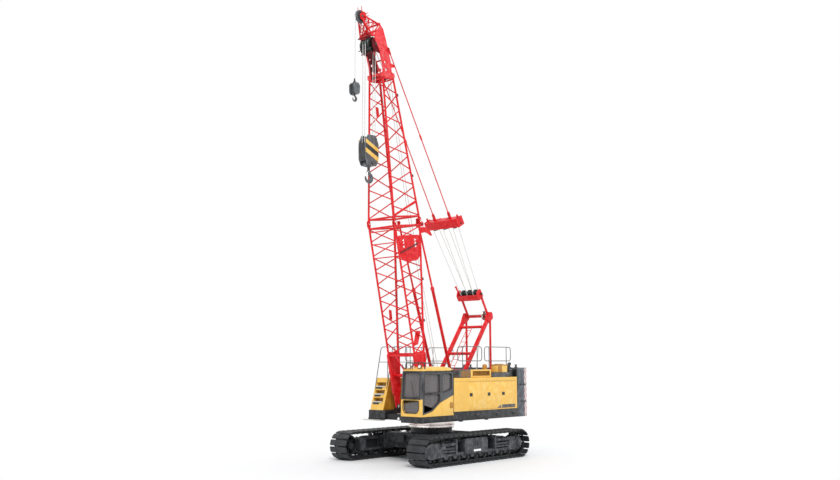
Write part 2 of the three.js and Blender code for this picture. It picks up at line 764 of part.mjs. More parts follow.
function boomTop() {
  const parts = lattice(JOINT + 160, BOOM_END - 60, JOINT + 40);
  parts.push(...frameAt(JOINT + 165, 40), ...frameAt(BOOM_END - 60, 30));
  for (const side of [-1, 1]) {
    for (const back of [-1, 1]) {
      const [x, cy, z] = chordPoint(JOINT + 130, side, back);
      parts.push(box([x - 130 + SEAM, x + 110], [cy - 50, cy + 50], [z - 65, z + 65]));
      parts.push(rod(chordPoint(BOOM_END - 100, side, back), chordPoint(BOOM_END + 60, side, back), CHORD_RADIUS, 6));
    }
  }
  return cut(join(parts), box([BOOM_END, BOOM_END + 200], [-500, 500], [-500, 500]));
}

function boomHead() {
  const start = BOOM_END + TOUCH;
  const parts = [];
  for (const side of [-1, 1]) {
    const y = side * HEAD_HALF;
    parts.push(sidePlate([
      [start, -HEAD_HALF_DEPTH - 30],
      [start + 110, -HEAD_HALF_DEPTH - 30],
      [start + 170, -215],
      [12512, -225],
      [12970, -313],
      [13334, -410],
      [13440, -540],
      [13515, -560],
      [13590, -500],
      [HEAD_END, -176],
      [13802, -58],
      [13391, 44],
      [13022, 112],
      [12652, 186],
      [start + 170, 190],
      [start + 110, HEAD_HALF_DEPTH + 30],
      [start, HEAD_HALF_DEPTH + 30],
    ], y - 20, y + 20));
    const inner = y - side * 30;
    parts.push(sidePlate([
      [12880, -250],
      [12960, -560],
      [13100, -650],
      [13330, -650],
      [13440, -560],
      [13380, -300],
    ], inner - 15, inner + 15));
    parts.push(sidePlate([
      [PENDANT_PIN.along - 130, PENDANT_PIN.back - 20],
      [PENDANT_PIN.along - 60, PENDANT_PIN.back + 75],
      [PENDANT_PIN.along + 60, PENDANT_PIN.back + 65],
      [PENDANT_PIN.along + 110, PENDANT_PIN.back - 60],
    ], y - 20, y + 20));
    parts.push(sidePlate([[12390, 170], [12440, 400], [12530, 400], [12600, 150]], y - 20, y + 20));
  }
  const across = (along, up, radius) => rod([along, -HEAD_HALF, up], [along, HEAD_HALF, up], radius, 10);
  parts.push(across(12200, -130, 50), across(12200, 130, 50), across(13780, -180, 45));
  parts.push(across(MAIN_SHEAVE.along, -MAIN_SHEAVE.front, 40));
  return join(parts);
}

function mainSheaves() {
  const at = [MAIN_SHEAVE.along, -MAIN_SHEAVE.front];
  const discs = [-180, -60, 60, 180].map((y) => sheave(at, y, MAIN_SHEAVE.radius, 90));
  const hub = disc(at, -HEAD_HALF + 55, HEAD_HALF - 55, 90, 12);
  return cut(join(hub, discs), disc(at, -HEAD_HALF, HEAD_HALF, 40 + PIN_ROOM, 10));
}

function auxTip() {
  const parts = [];
  const tip = [AUX_SHEAVE.along, -AUX_SHEAVE.front];
  for (const side of [-1, 1]) {
    const rear = [TIP_REAR.along, side * TIP_ROOT_HALF, -TIP_REAR.front];
    const front = [TIP_FRONT.along, side * TIP_ROOT_HALF, -TIP_FRONT.front];
    const end = side * 95;
    parts.push(rod(rear, [tip[0] + 60, end, tip[1]], 32, 6));
    parts.push(rod(front, [tip[0] - 60, end, tip[1]], 32, 6));
    parts.push(rod(rear, front, 24, 6));
    parts.push(sidePlate([
      [tip[0] - 140, tip[1] + 190], [tip[0] - 120, tip[1] - 90], [tip[0] + 90, tip[1] - 100],
      [tip[0] + 150, tip[1] + 190],
    ], Math.min(end - side * 12, end + side * 12), Math.max(end - side * 12, end + side * 12)));
  }
  for (const { along, front } of [TIP_REAR, TIP_FRONT]) {
    parts.push(rod([along, -TIP_ROOT_HALF - 30, -front], [along, TIP_ROOT_HALF + 30, -front], 34, 8));
  }
  parts.push(rod([tip[0], -110, tip[1]], [tip[0], 110, tip[1]], 36, 10));
  parts.push(sheave(tip, 0, AUX_SHEAVE.radius, 80));
  return join(parts);
}

// ---------------------------------------------------------------- luffing tackle, in its own frame
// +X runs from the gantry's top pin towards the boom head.
function tackleBlock() {
  const parts = [];
  const half = GANTRY_HALF - 95;
  for (const side of [-1, 1]) {
    const y = side * half;
    parts.push(sidePlate([
      [90, -60], [BLOCK_AT, -70], [BLOCK_AT, 70], [90, 60],
    ], y - 15, y + 15));
    parts.push(sidePlate([
      [BLOCK_AT - 170, -220], [BLOCK_AT + 60, -220], [BLOCK_AT + 180, -90], [BLOCK_AT + 180, 90],
      [BLOCK_AT - 150, 110],
    ], y - 35, y + 35));
  }
  parts.push(rod([BLOCK_AT, -GANTRY_HALF, 0], [BLOCK_AT, GANTRY_HALF, 0], 45, 10));
  parts.push(box([BLOCK_AT - 170, BLOCK_AT + 60], [-half, half], [-220, -198]));
  for (let i = 0; i < 3; i += 1) {
    parts.push(sheave([BLOCK_AT, 0], (i - 1) * 300, 190, 80));
  }
  return join(parts);
}

function spreader(length) {
  const parts = [];
  const at = SPREADER_AT;
  parts.push(box([at - 200, at + 130], [-SPREADER_HALF, SPREADER_HALF], [-200, 200]));
  for (let i = 0; i < 3; i += 1) {
    parts.push(sheave([at - 110, 0], (i - 1) * 500, 180, 80));
  }
  for (const side of [-1, 1]) {
    const y = side * PENDANT_HALF;
    parts.push(box([at + 120, at + 420], [y - 28, y + 28], [-60, 60]));
    parts.push(rod([at + 400, y, 0], [length - 120, y, 0], PENDANT_RADIUS, 8));
    parts.push(box([length - 140, length + 60], [y - 18, y + 18], [-50, 50]));
  }
  return join(parts);
}

// ---------------------------------------------------------------- backstops, each in its own frame
function stopTubes() {
  const parts = [];
  for (const side of [-1, 1]) {
    const y = side * STOP_HALF;
    parts.push(cut(
      join(
        rod([220, y, 0], [STOP_TUBE_LENGTH, y, 0], STOP_TUBE, 10),
        box([0, 300], [y - 35, y + 35], [-55, 55]),
      ),
      rod([STOP_TUBE_LENGTH - STOP_INSERT - 400, y, 0], [STOP_TUBE_LENGTH + 10, y, 0], STOP_ROD + 8, 8),
    ));
    parts.push(disc([0, 0], y - 35, y + 35, 75, 12));
    parts.push(disc([0, 0], y - 75, y + 75, 30, 8));
  }
  parts.push(rod([900, -STOP_HALF, 0], [900, STOP_HALF, 0], 30, 6));
  return join(parts);
}

function stopRods(length) {
  const parts = [];
  for (const side of [-1, 1]) {
    const y = side * STOP_HALF;
    parts.push(rod([STOP_TUBE_LENGTH - STOP_INSERT, y, 0], [length, y, 0], STOP_ROD, 8));
    parts.push(disc([length, 0], y - 35, y + 35, 70, 12));
  }
  parts.push(rod([length, -STOP_HALF, 0], [length, STOP_HALF, 0], 30, 8));
  return join(parts);
}

// ---------------------------------------------------------------- hooks
function hookShape(x, top, size) {
  const shape = new THREE.Shape();
  const cz = top - size * 1.25;
  shape.moveTo(-size * 0.16, top);
  shape.lineTo(-size * 0.16, cz + size * 0.62);
  shape.absarc(0, cz, size * 0.62, Math.PI * 0.58, Math.PI * 2.08, false);
  shape.lineTo(size * 0.26, cz + size * 0.1);
  shape.absarc(0, cz, size * 0.27, Math.PI * 2.08, Math.PI * 0.5, true);
  shape.lineTo(size * 0.16, cz + size * 0.5);
  shape.lineTo(size * 0.16, top);
  const depth = size * 0.3;
  const geometry = new THREE.ExtrudeGeometry(shape, { depth, bevelEnabled: false, curveSegments: 14 });
  geometry.rotateX(Math.PI / 2);
  geometry.translate(x, depth / 2, 0);
  return solid(geometry);
}

function mainBlock(x) {
  const z = MAIN_BLOCK_Z;
  const cheek = [
    [x - 330, z - 330], [x - 220, z - 560], [x + 220, z - 560], [x + 330, z - 330],
    [x + 340, z + 260], [x + 200, z + 560], [x - 200, z + 560], [x - 340, z + 260],
  ];
  const parts = [
    sidePlate(cheek, -180, -145),
    sidePlate(cheek, 145, 180),
    rod([x, -195, z], [x, 195, z], 55, 12),
    box([x - 220, x + 220], [-150, 150], [z - 560, z - 420]),
  ];
  for (const y of [-60, 60]) {
    parts.push(sheave([x, z], y, MAIN_SHEAVE.radius, 90));
  }
  return join(parts);
}

function auxHook(x) {
  const top = AUX_HOOK_Z;
  const body = new THREE.LatheGeometry([
    [0, top - 480], [110, top - 480], [150, top - 400], [145, top - 150], [60, top - 60], [45, top], [0, top],
  ].map(([radius, z]) => new THREE.Vector2(radius, z)), 12);
  body.rotateX(Math.PI / 2);
  body.translate(x, 0, 0);
  return join(solid(body), hookShape(x, top - 380, AUX_HOOK_SIZE));
}

function mainRopes(x, top, bottom) {
  const parts = [];
  for (const side of [-1, 1]) {
    const at = x + side * (MAIN_SHEAVE.radius + ROPE_RADIUS + 3);
    parts.push(rod([at, 0, bottom], [at, 0, top], ROPE_RADIUS, 8));
  }
  parts.push(box([x - 300, x + 300], [-30, 30], [top - 520, top - 440]));
  return join(parts);
}

// ---------------------------------------------------------------- roof items and rails
function hoop([x0, x1], y, [z0, z1], foot, radius) {
  const parts = [];
  parts.push(rod([x0, y, z0], [x0, y, z1], radius, 4), rod([x1, y, z0], [x1, y, z1], radius, 4));
  parts.push(rod([x0, y, z1], [x1, y, z1], radius, 4), rod([x0, y, z0], [x1, y, z0], radius, 4));
  for (const x of [x0 + RAIL_END, x1 - RAIL_END]) {
    parts.push(rod([x, y, foot], [x, y, z1], radius, 4));
  }
  return parts;
}

function handrails(y, spans, floor) {
  const foot = floor + TOUCH;
  const parts = spans.flatMap(([x0, x1]) => hoop([x0, x1], y, [RAIL_LOW, RAIL_TOP], foot, RAIL_RADIUS));
  const first = spans[0][0] + RAIL_END;
  const last = spans[spans.length - 1][1] - RAIL_END;
  parts.push(rod([first, y, foot + 22], [last, y, foot + 22], RAIL_RADIUS, 4));
  return join(parts);
}

// ---------------------------------------------------------------- assembly
function addUndercarriage() {
  const frame = trackFrame();
  const loop = track();
  const sprocket = trackWheel(-WHEEL_X);
  const idler = trackWheel(WHEEL_X);
  add('car_body', carBody(), CHARCOAL);
  add('slew_ring', slewRing(), STEEL);
  add('left_track', loop, CHARCOAL);
  add('right_track', mirrored(loop), CHARCOAL);
  add('left_track_frame', frame, CHARCOAL);
  add('right_track_frame', mirrored(frame), CHARCOAL);
  add('left_sprocket', sprocket, IRON);
  add('right_sprocket', mirrored(sprocket), IRON);
  add('left_idler', idler, IRON);
  add('right_idler', mirrored(idler), IRON);
}

function addCab() {
  const walls = cabWalls();
  add('cab_lower_panel', walls.intersect(cabLowerZone(0)), YELLOW);
  add('cab_frame', walls.subtract(cabLowerZone(TOUCH)), SLATE);
  add('cab_roof', cabRoof(), YELLOW);
  add('cab_door', cabDoor(), SLATE);
  add('cab_door_glass', doorGlass(), GLASS);
  add('windscreen', windscreenGlass(), GLASS);
  add('operator_chair', chair(), FABRIC);
}

function addUpperworks() {
  add('deck_frame', deckFrame(), SLATE);
  addCab();
  add('left_hood', hood(HOOD_INNER, BODY_HALF, HOOD_FRONT, LEFT_DOORS), YELLOW);
  const right = hood(HOOD_INNER, BODY_HALF, STAIR_REAR - TOUCH, RIGHT_DOORS);
  add('right_hood', mirrored(right), YELLOW);
  const names = ['front', 'middle', 'rear'];
  for (let i = 0; i + 1 < LEFT_DOORS.length; i += 1) {
    add(`left_hood_door_${names[i]}`, hoodDoor(LEFT_DOORS[i], LEFT_DOORS[i + 1], BODY_HALF), YELLOW);
  }
  for (let i = 0; i + 1 < RIGHT_DOORS.length; i += 1) {
    const door = hoodDoor(RIGHT_DOORS[i], RIGHT_DOORS[i + 1], BODY_HALF);
    add(`right_hood_door_${i ? 'rear' : 'front'}`, mirrored(door), YELLOW);
  }
  add('engine', box([-2700, -1350], [1000, 1520], [SKIRT_TOP + TOUCH, 2600]), IRON);
  add('stair_box', stairBox(), YELLOW);
  add('gantry', gantry(), RED);
  const slabs = ['lower', 'middle', 'upper'];
  slabs.forEach((name, i) => {
    const high = WEIGHT_SEAMS[i + 1] - (i < 2 ? TOUCH : 0);
    add(`counterweight_${name}`, weightSlab(WEIGHT_SEAMS[i], high, WEIGHT_FRONT), SLATE);
  });
  add('intake_box', box([-1530, -330], [1290, 1640], [HOOD_TOP + TOUCH, 3240]), YELLOW);
  add('mesh_box', box([-300, 380], [1290, 1640], [HOOD_TOP + TOUCH, 3240]), IRON);
  add('filter_box', box([-2660, -1980], [1290, 1560], [HOOD_TOP + TOUCH, 3430]), YELLOW);
  add('left_handrail', handrails(1220, [[-3330, -1670], [-1500, -70]], HOOD_TOP), CHARCOAL);
  const rightRail = handrails(1480, [[-3050, -1520], [-1400, -160]], HOOD_TOP);
  add('right_handrail', mirrored(rightRail), CHARCOAL);
  add('stair_handrail', mirrored(handrails(1600, [[200, 1190]], STAIR_TOP)), CHARCOAL);
  add('main_winch_drum', winchDrum(WINCHES.main), IRON);
  add('auxiliary_winch_drum', winchDrum(WINCHES.aux), IRON);
  add('luffing_winch_drum', winchDrum(WINCHES.luffing), IRON);
}

function boomPlace(along, front) {
  const a = THREE.MathUtils.degToRad(BOOM_ANGLE);
  return new THREE.Vector3(
    FOOT.x + along * Math.cos(a) + front * Math.sin(a),
    0,
    FOOT.z + along * Math.sin(a) - front * Math.cos(a),
  );
}

function turnedGroup(origin, towards) {
  const group = new THREE.Group();
  group.position.copy(origin);
  group.rotation.y = -Math.atan2(towards.z - origin.z, towards.x - origin.x);
  crane.add(group);
  return group;
}

function addBoom() {
  const group = turnedGroup(FOOT, boomPlace(1000, 0));
  add('boom_base', boomBase(), RED, group);
  add('boom_top', boomTop(), RED, group);
  add('boom_head', boomHead(), RED, group);
  add('main_head_sheaves', mainSheaves(), IRON, group);
  add('auxiliary_tip', auxTip(), RED, group);
}

function addTackle() {
  const pin = boomPlace(PENDANT_PIN.along, -PENDANT_PIN.back);
  const group = turnedGroup(GANTRY_TOP, pin);
  add('tackle_block', tackleBlock(), RED, group);
  add('spreader', spreader(GANTRY_TOP.distanceTo(pin)), RED, group);
}

function addBackstops() {
  const group = turnedGroup(STOP_FOOT, STOP_EYE);
  add('backstop_tubes', stopTubes(), RED, group);
  add('backstop_rods', stopRods(STOP_FOOT.distanceTo(STOP_EYE)), RED, group);
}

function addHooks() {
  const head = boomPlace(MAIN_SHEAVE.along, MAIN_SHEAVE.front);
  const tip = boomPlace(AUX_SHEAVE.along, AUX_SHEAVE.front);
  add('main_hoist_rope', mainRopes(head.x, head.z - 20, MAIN_BLOCK_Z + 20), WIRE);
  add('main_hook_block', mainBlock(head.x), IRON);
  add('main_hook', hookShape(head.x, MAIN_BLOCK_Z - 560 - TOUCH, MAIN_HOOK_SIZE), IRON);
  const fall = tip.x + AUX_SHEAVE.radius + ROPE_RADIUS + 3;
  add('auxiliary_hoist_rope', rod([fall, 0, AUX_HOOK_Z + 1], [fall, 0, tip.z], ROPE_RADIUS, 8), WIRE);
  add('auxiliary_hook', auxHook(fall), IRON);
}

addUndercarriage();
addUpperworks();
addBoom();
addTackle();
addBackstops();
addHooks();

crane.updateMatrixWorld(true);
const extent = new THREE.Box3().setFromObject(crane, true);
crane.position.set(-(extent.min.x + extent.max.x) / 2, -(extent.min.y + extent.max.y) / 2, -extent.min.z);

export default crane;
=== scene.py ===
"""A crawler crane with a lattice boom: the pieces that show and their finishes.

Sizes are in metres. Pieces are modelled about the slew axis, with +X forwards, +Y to the cab's
side and +Z up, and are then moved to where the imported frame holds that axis.
"""

import logging
import math
from dataclasses import dataclass
from enum import Enum
from typing import Iterable, Sequence, Union

import bmesh
import bpy
from mathutils import Matrix, Vector


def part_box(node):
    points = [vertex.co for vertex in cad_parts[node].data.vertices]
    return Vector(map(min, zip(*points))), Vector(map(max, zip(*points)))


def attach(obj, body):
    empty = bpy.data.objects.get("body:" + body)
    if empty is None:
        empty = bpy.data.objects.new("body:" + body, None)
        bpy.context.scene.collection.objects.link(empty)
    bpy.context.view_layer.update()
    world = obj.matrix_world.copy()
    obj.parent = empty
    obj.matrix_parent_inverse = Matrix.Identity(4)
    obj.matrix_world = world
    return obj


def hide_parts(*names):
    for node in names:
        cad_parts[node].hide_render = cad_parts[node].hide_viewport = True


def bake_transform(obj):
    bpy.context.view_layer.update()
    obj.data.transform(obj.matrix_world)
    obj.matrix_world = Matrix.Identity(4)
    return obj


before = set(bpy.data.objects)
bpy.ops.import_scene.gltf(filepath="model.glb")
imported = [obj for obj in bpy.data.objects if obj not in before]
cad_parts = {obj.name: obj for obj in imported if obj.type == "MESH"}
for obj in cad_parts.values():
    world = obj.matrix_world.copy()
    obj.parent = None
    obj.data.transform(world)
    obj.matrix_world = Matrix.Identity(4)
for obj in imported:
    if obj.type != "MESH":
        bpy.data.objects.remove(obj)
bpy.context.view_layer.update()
SLEW_AXIS = (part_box("slew_ring")[0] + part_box("slew_ring")[1]) / 2

LOG = logging.getLogger("crane")
Point = Sequence[float]
Colour = tuple[float, float, float]
AHEAD, ACROSS, UP = (1, 0, 0), (0, 1, 0), (0, 0, 1)
BOTH = (-1, 1)
MERGE_DISTANCE, CAD_MERGE_DISTANCE = 2e-5, 1e-5
SMOOTH_ANGLE = 34.0
CORNERS = ((-1, -1), (-1, 1), (1, -1), (1, 1))


def tint(code: str) -> Colour:
    """The linear colour of a hexadecimal one.

    Args:
        code: Six hexadecimal digits.

    Returns:
        Red, green and blue, each from 0 to 1.
    """
    parts = [int(code[i:i + 2], 16) / 255 for i in (0, 2, 4)]
    return tuple(p / 12.92 if p <= 0.04045 else ((p + 0.055) / 1.055) ** 2.4 for p in parts)


# ---------------------------------------------------------------- finishes
class Value:
    """A socket of a finish, which takes part in arithmetic."""

    def __init__(self, look: "Look", socket: bpy.types.NodeSocket) -> None:
        """Keeps the finish and the socket."""
        self.look = look
        self.socket = socket

    def __add__(self, other: "Operand") -> "Value":
        """This plus the other."""
        return self.look.maths("ADD", self, other)

    def __sub__(self, other: "Operand") -> "Value":
        """This less the other."""
        return self.look.maths("SUBTRACT", self, other)

    def __rsub__(self, other: "Operand") -> "Value":
        """The other less this."""
        return self.look.maths("SUBTRACT", other, self)

    def __mul__(self, other: "Operand") -> "Value":
        """This times the other."""
        return self.look.maths("MULTIPLY", self, other)

    __radd__ = __add__
    __rmul__ = __mul__

    def rise(self, low: float, high: float) -> "Value":
        """A smooth step from 0 at low to 1 at high."""
        return self.look.node(
            "ShaderNodeMapRange",
            {"interpolation_type": "SMOOTHSTEP"},
            {"Value": self, "From Min": low, "From Max": high},
        )


Operand = Union[Value, float]


class Look:
    """A material that is being built from nodes."""

    def __init__(self, name: str) -> None:
        """Starts an empty node tree with a shader.

        Args:
            name: The material's name.
        """
        self.material = bpy.data.materials.new(name)
        self.material.use_nodes = True
        self.tree = self.material.node_tree
        self.tree.nodes.clear()
        self.shader = self.tree.nodes.new("ShaderNodeBsdfPrincipled")
        output = self.tree.nodes.new("ShaderNodeOutputMaterial")
        self.tree.links.new(self.shader.outputs[0], output.inputs[0])

    def feed(self, socket: bpy.types.NodeSocket, value: object) -> None:
        """Sets a socket, or links it where the value is a Value."""
        if isinstance(value, Value):
            self.tree.links.new(value.socket, socket)
        elif isinstance(value, tuple) and len(value) == 3 and socket.type == "RGBA":
            socket.default_value = (*value, 1.0)
        else:
            socket.default_value = value

    def node(self, kind: str, settings: dict, inputs: dict, output: Union[int, str] = 0) -> Value:
        """Adds any node.

        Args:
            kind: The node's type.
            settings: Its properties, set first.
            inputs: Values or links, by socket name or number.
            output: The socket that is given back.

        Returns:
            The chosen output.
        """
        made = self.tree.nodes.new(kind)
        for key, value in settings.items():
            setattr(made, key, value)
        for key, value in inputs.items():
            self.feed(made.inputs[key], value)
        return Value(self, made.outputs[output])

    def maths(self, operation: str, first: Operand, second: Operand) -> Value:
        """Arithmetic on two numbers."""
        return self.node("ShaderNodeMath", {"operation": operation}, {0: first, 1: second})

    def mix(self, factor: Operand, first: object, second: object) -> Value:
        """A colour between two."""
        return self.node("ShaderNodeMix", {"data_type": "RGBA"}, {0: factor, 6: first, 7: second}, 2)

    def place(self) -> Value:
        """The point on the piece."""
        return self.node("ShaderNodeTexCoord", {}, {}, "Object")

    def axis(self, name: str) -> Value:
        """One coordinate of the point: X, Y or Z."""
        return self.node("ShaderNodeSeparateXYZ", {}, {0: self.place()}, name)

    def noise(self, scale: float, detail: float = 3.0, squeeze: Point = (1, 1, 1)) -> Value:
        """A cloudy pattern, from 0 to 1.

        Args:
            scale: Clouds in a metre.
            detail: Octaves.
            squeeze: How much the pattern is pressed together along X, Y and Z.

        Returns:
            The pattern.
        """
        at = self.node("ShaderNodeMapping", {}, {0: self.place(), "Scale": tuple(squeeze)})
        return self.node("ShaderNodeTexNoise", {}, {"Vector": at, "Scale": scale, "Detail": detail})

    def edges(self, low: float = 0.505, high: float = 0.56) -> Value:
        """1 on convex edges and 0 elsewhere."""
        return self.node("ShaderNodeNewGeometry", {}, {}, "Pointiness").rise(low, high)

    def hollows(self) -> Value:
        """1 in concave corners and 0 elsewhere."""
        return 1.0 - self.node("ShaderNodeNewGeometry", {}, {}, "Pointiness").rise(0.43, 0.495)

    def relief(self, height: Operand, strength: float, distance: float) -> None:
        """Roughens the surface with a bump."""
        bump = self.node("ShaderNodeBump", {}, {
            "Height": height, "Strength": strength, "Distance": distance,
        })
        self.feed(self.shader.inputs["Normal"], bump)

    def shade(self, **values: object) -> bpy.types.Material:
        """Feeds the shader's sockets, with _ for a space in their names, and gives the material."""
        for key, value in values.items():
            self.feed(self.shader.inputs[key.replace("_", " ").title().replace("Ior", "IOR")], value)
        return self.material


@dataclass(frozen=True)
class Paint:
    """Sprayed paint, a little faded, with worn edges, and dust and painted shade darkening the concave
    corners.
    """

    name: str
    colour: Colour
    worn: Colour
    # A darker copy of the colour for concave corners: dust and painted shade.
    corner_dust_and_shade: Colour
    roughness: float = 0.34
    fade: float = 0.12
    coat: float = 0.25
    metallic: float = 0.0
    shine: float = 0.5

    def build(self) -> bpy.types.Material:
        """The material."""
        look = Look(self.name)
        broad = look.noise(0.7, 4.0)
        fine = look.noise(18.0, 3.0)
        dark = tuple(c * (1.0 - self.fade) for c in self.colour)
        light = tuple(min(1.0, c * (1.0 + self.fade * 0.45) + 0.004) for c in self.colour)
        body = look.mix(broad.rise(0.3, 0.7), dark, light)
        rubbed = look.edges() * look.noise(6.0, 2.0).rise(0.4, 0.65) * 0.45
        body = look.mix(rubbed, body, self.worn)
        # Concave corners take the darker copy of the paint: dust and painted shade.
        body = look.mix(look.hollows() * (0.35 + 0.4 * fine), body, self.corner_dust_and_shade)
        look.relief(fine, 0.12, 0.002)
        return look.shade(
            base_color=body,
            roughness=self.roughness + (fine - 0.5) * 0.16 + (broad - 0.5) * 0.08,
            metallic=self.metallic,
            coat_weight=self.coat,
            coat_roughness=0.12,
            specular_ior_level=self.shine,
        )


@dataclass(frozen=True)
class Striped:
    """Two colours in slanted bands, on faces that stand upright."""

    name: str
    first: Colour
    second: Colour
    pitch: float
    slope: float

    def build(self) -> bpy.types.Material:
        """The material."""
        look = Look(self.name)
        run = (look.axis("Z") + look.axis("X") * self.slope) * (1.0 / self.pitch)
        wave = look.node("ShaderNodeMath", {"operation": "PINGPONG"}, {0: run, 1: 0.5})
        dirt = look.noise(9.0, 4.0)
        body = look.mix(wave.rise(0.235, 0.265), self.first, self.second)
        body = look.mix(dirt.rise(0.55, 0.8) * 0.25, body, tint("5a5148"))
        return look.shade(base_color=body, roughness=0.3 + dirt * 0.2, coat_weight=0.2)


@dataclass(frozen=True)
class Steel:
    """Bare or blackened steel, brushed along one direction."""

    name: str
    colour: Colour
    stain: Colour
    roughness: float = 0.3
    metallic: float = 1.0
    squeeze: tuple[float, float, float] = (1.0, 1.0, 12.0)

    def build(self) -> bpy.types.Material:
        """The material."""
        look = Look(self.name)
        lines = look.noise(14.0, 4.0, self.squeeze)
        cloud = look.noise(2.2, 4.0)
        body = look.mix(cloud.rise(0.42, 0.72) * 0.6, self.colour, self.stain)
        body = look.mix(look.edges() * 0.35, body, tuple(min(1.0, c * 1.6 + 0.03) for c in self.colour))
        look.relief(lines, 0.15, 0.002)
        return look.shade(
            base_color=body,
            roughness=self.roughness + (lines - 0.5) * 0.18 + cloud * 0.1,
            metallic=self.metallic,
        )


@dataclass(frozen=True)
class Cast:
    """Rough blackened castings with polished ridges and dried soil."""

    name: str
    colour: Colour
    rubbed: Colour
    soil: Colour
    soil_top: float = 0.0

    def build(self) -> bpy.types.Material:
        """The material."""
        look = Look(self.name)
        grain = look.noise(45.0, 4.0)
        cloud = look.noise(3.0, 5.0)
        body = look.mix(cloud.rise(0.3, 0.75), self.colour, tuple(c * 1.5 for c in self.colour))
        body = look.mix(look.edges(0.51, 0.6) * (0.25 + 0.5 * cloud), body, self.rubbed)
        low = 1.0 - look.axis("Z").rise(0.0, max(self.soil_top, 0.01))
        body = look.mix(low * cloud.rise(0.5, 0.8) * 0.5, body, self.soil)
        look.relief(grain + cloud, 0.25, 0.004)
        return look.shade(base_color=body, roughness=0.52 + (grain - 0.5) * 0.3, metallic=0.35)


@dataclass(frozen=True)
class Glass:
    """Tinted cab glass."""

    name: str
    colour: Colour
    cover: float

    def build(self) -> bpy.types.Material:
        """The material."""
        look = Look(self.name)
        film = look.noise(1.3, 3.0)
        body = look.mix(film.rise(0.3, 0.7), self.colour, tuple(c * 1.25 for c in self.colour))
        return look.shade(
            base_color=body,
            roughness=0.05 + film * 0.05,
            alpha=self.cover + (film - 0.5) * 0.1,
            coat_weight=0.6,
            coat_roughness=0.03,
        )


@dataclass(frozen=True)
class Moulded:
    """Plastic, rubber or cloth in one colour with a fine grain."""

    name: str
    colour: Colour
    roughness: float
    grain: float
    depth: float

    def build(self) -> bpy.types.Material:
        """The material."""
        look = Look(self.name)
        fine = look.noise(self.grain, 2.0)
        cloud = look.noise(4.0, 3.0)
        body = look.mix(cloud.rise(0.3, 0.75), self.colour, tuple(min(1.0, c * 1.35) for c in self.colour))
        look.relief(fine, 0.3, self.depth)
        return look.shade(base_color=body, roughness=self.roughness + (fine - 0.5) * 0.15)


@dataclass(frozen=True)
class WireRope:
    """Laid wire rope: strands that wind round it."""

    name: str
    colour: Colour

    def build(self) -> bpy.types.Material:
        """The material."""
        look = Look(self.name)
        strands = look.node("ShaderNodeTexWave", {"bands_direction": "DIAGONAL"}, {
            "Vector": look.place(), "Scale": 14.0, "Distortion": 0.6,
        }, 1)
        body = look.mix(strands.rise(0.1, 0.8), tuple(c * 0.75 for c in self.colour), self.colour)
        look.relief(strands, 0.6, 0.004)
        return look.shade(base_color=body, roughness=0.36 + strands * 0.1, metallic=0.3)


@dataclass(frozen=True)
class Lens:
    """A lamp's lens or another clear or coloured cover with fine ribs."""

    name: str
    colour: Colour
    glow: float = 0.0

    def build(self) -> bpy.types.Material:
        """The material."""
        look = Look(self.name)
        ribs = look.noise(60.0, 1.0, (1.0, 1.0, 0.2))
        body = look.mix(ribs, self.colour, tuple(c * 0.8 for c in self.colour))
        look.relief(ribs, 0.4, 0.003)
        return look.shade(base_color=body, roughness=0.12 + ribs * 0.1, coat_weight=0.5,
                          emission_color=body, emission_strength=self.glow)


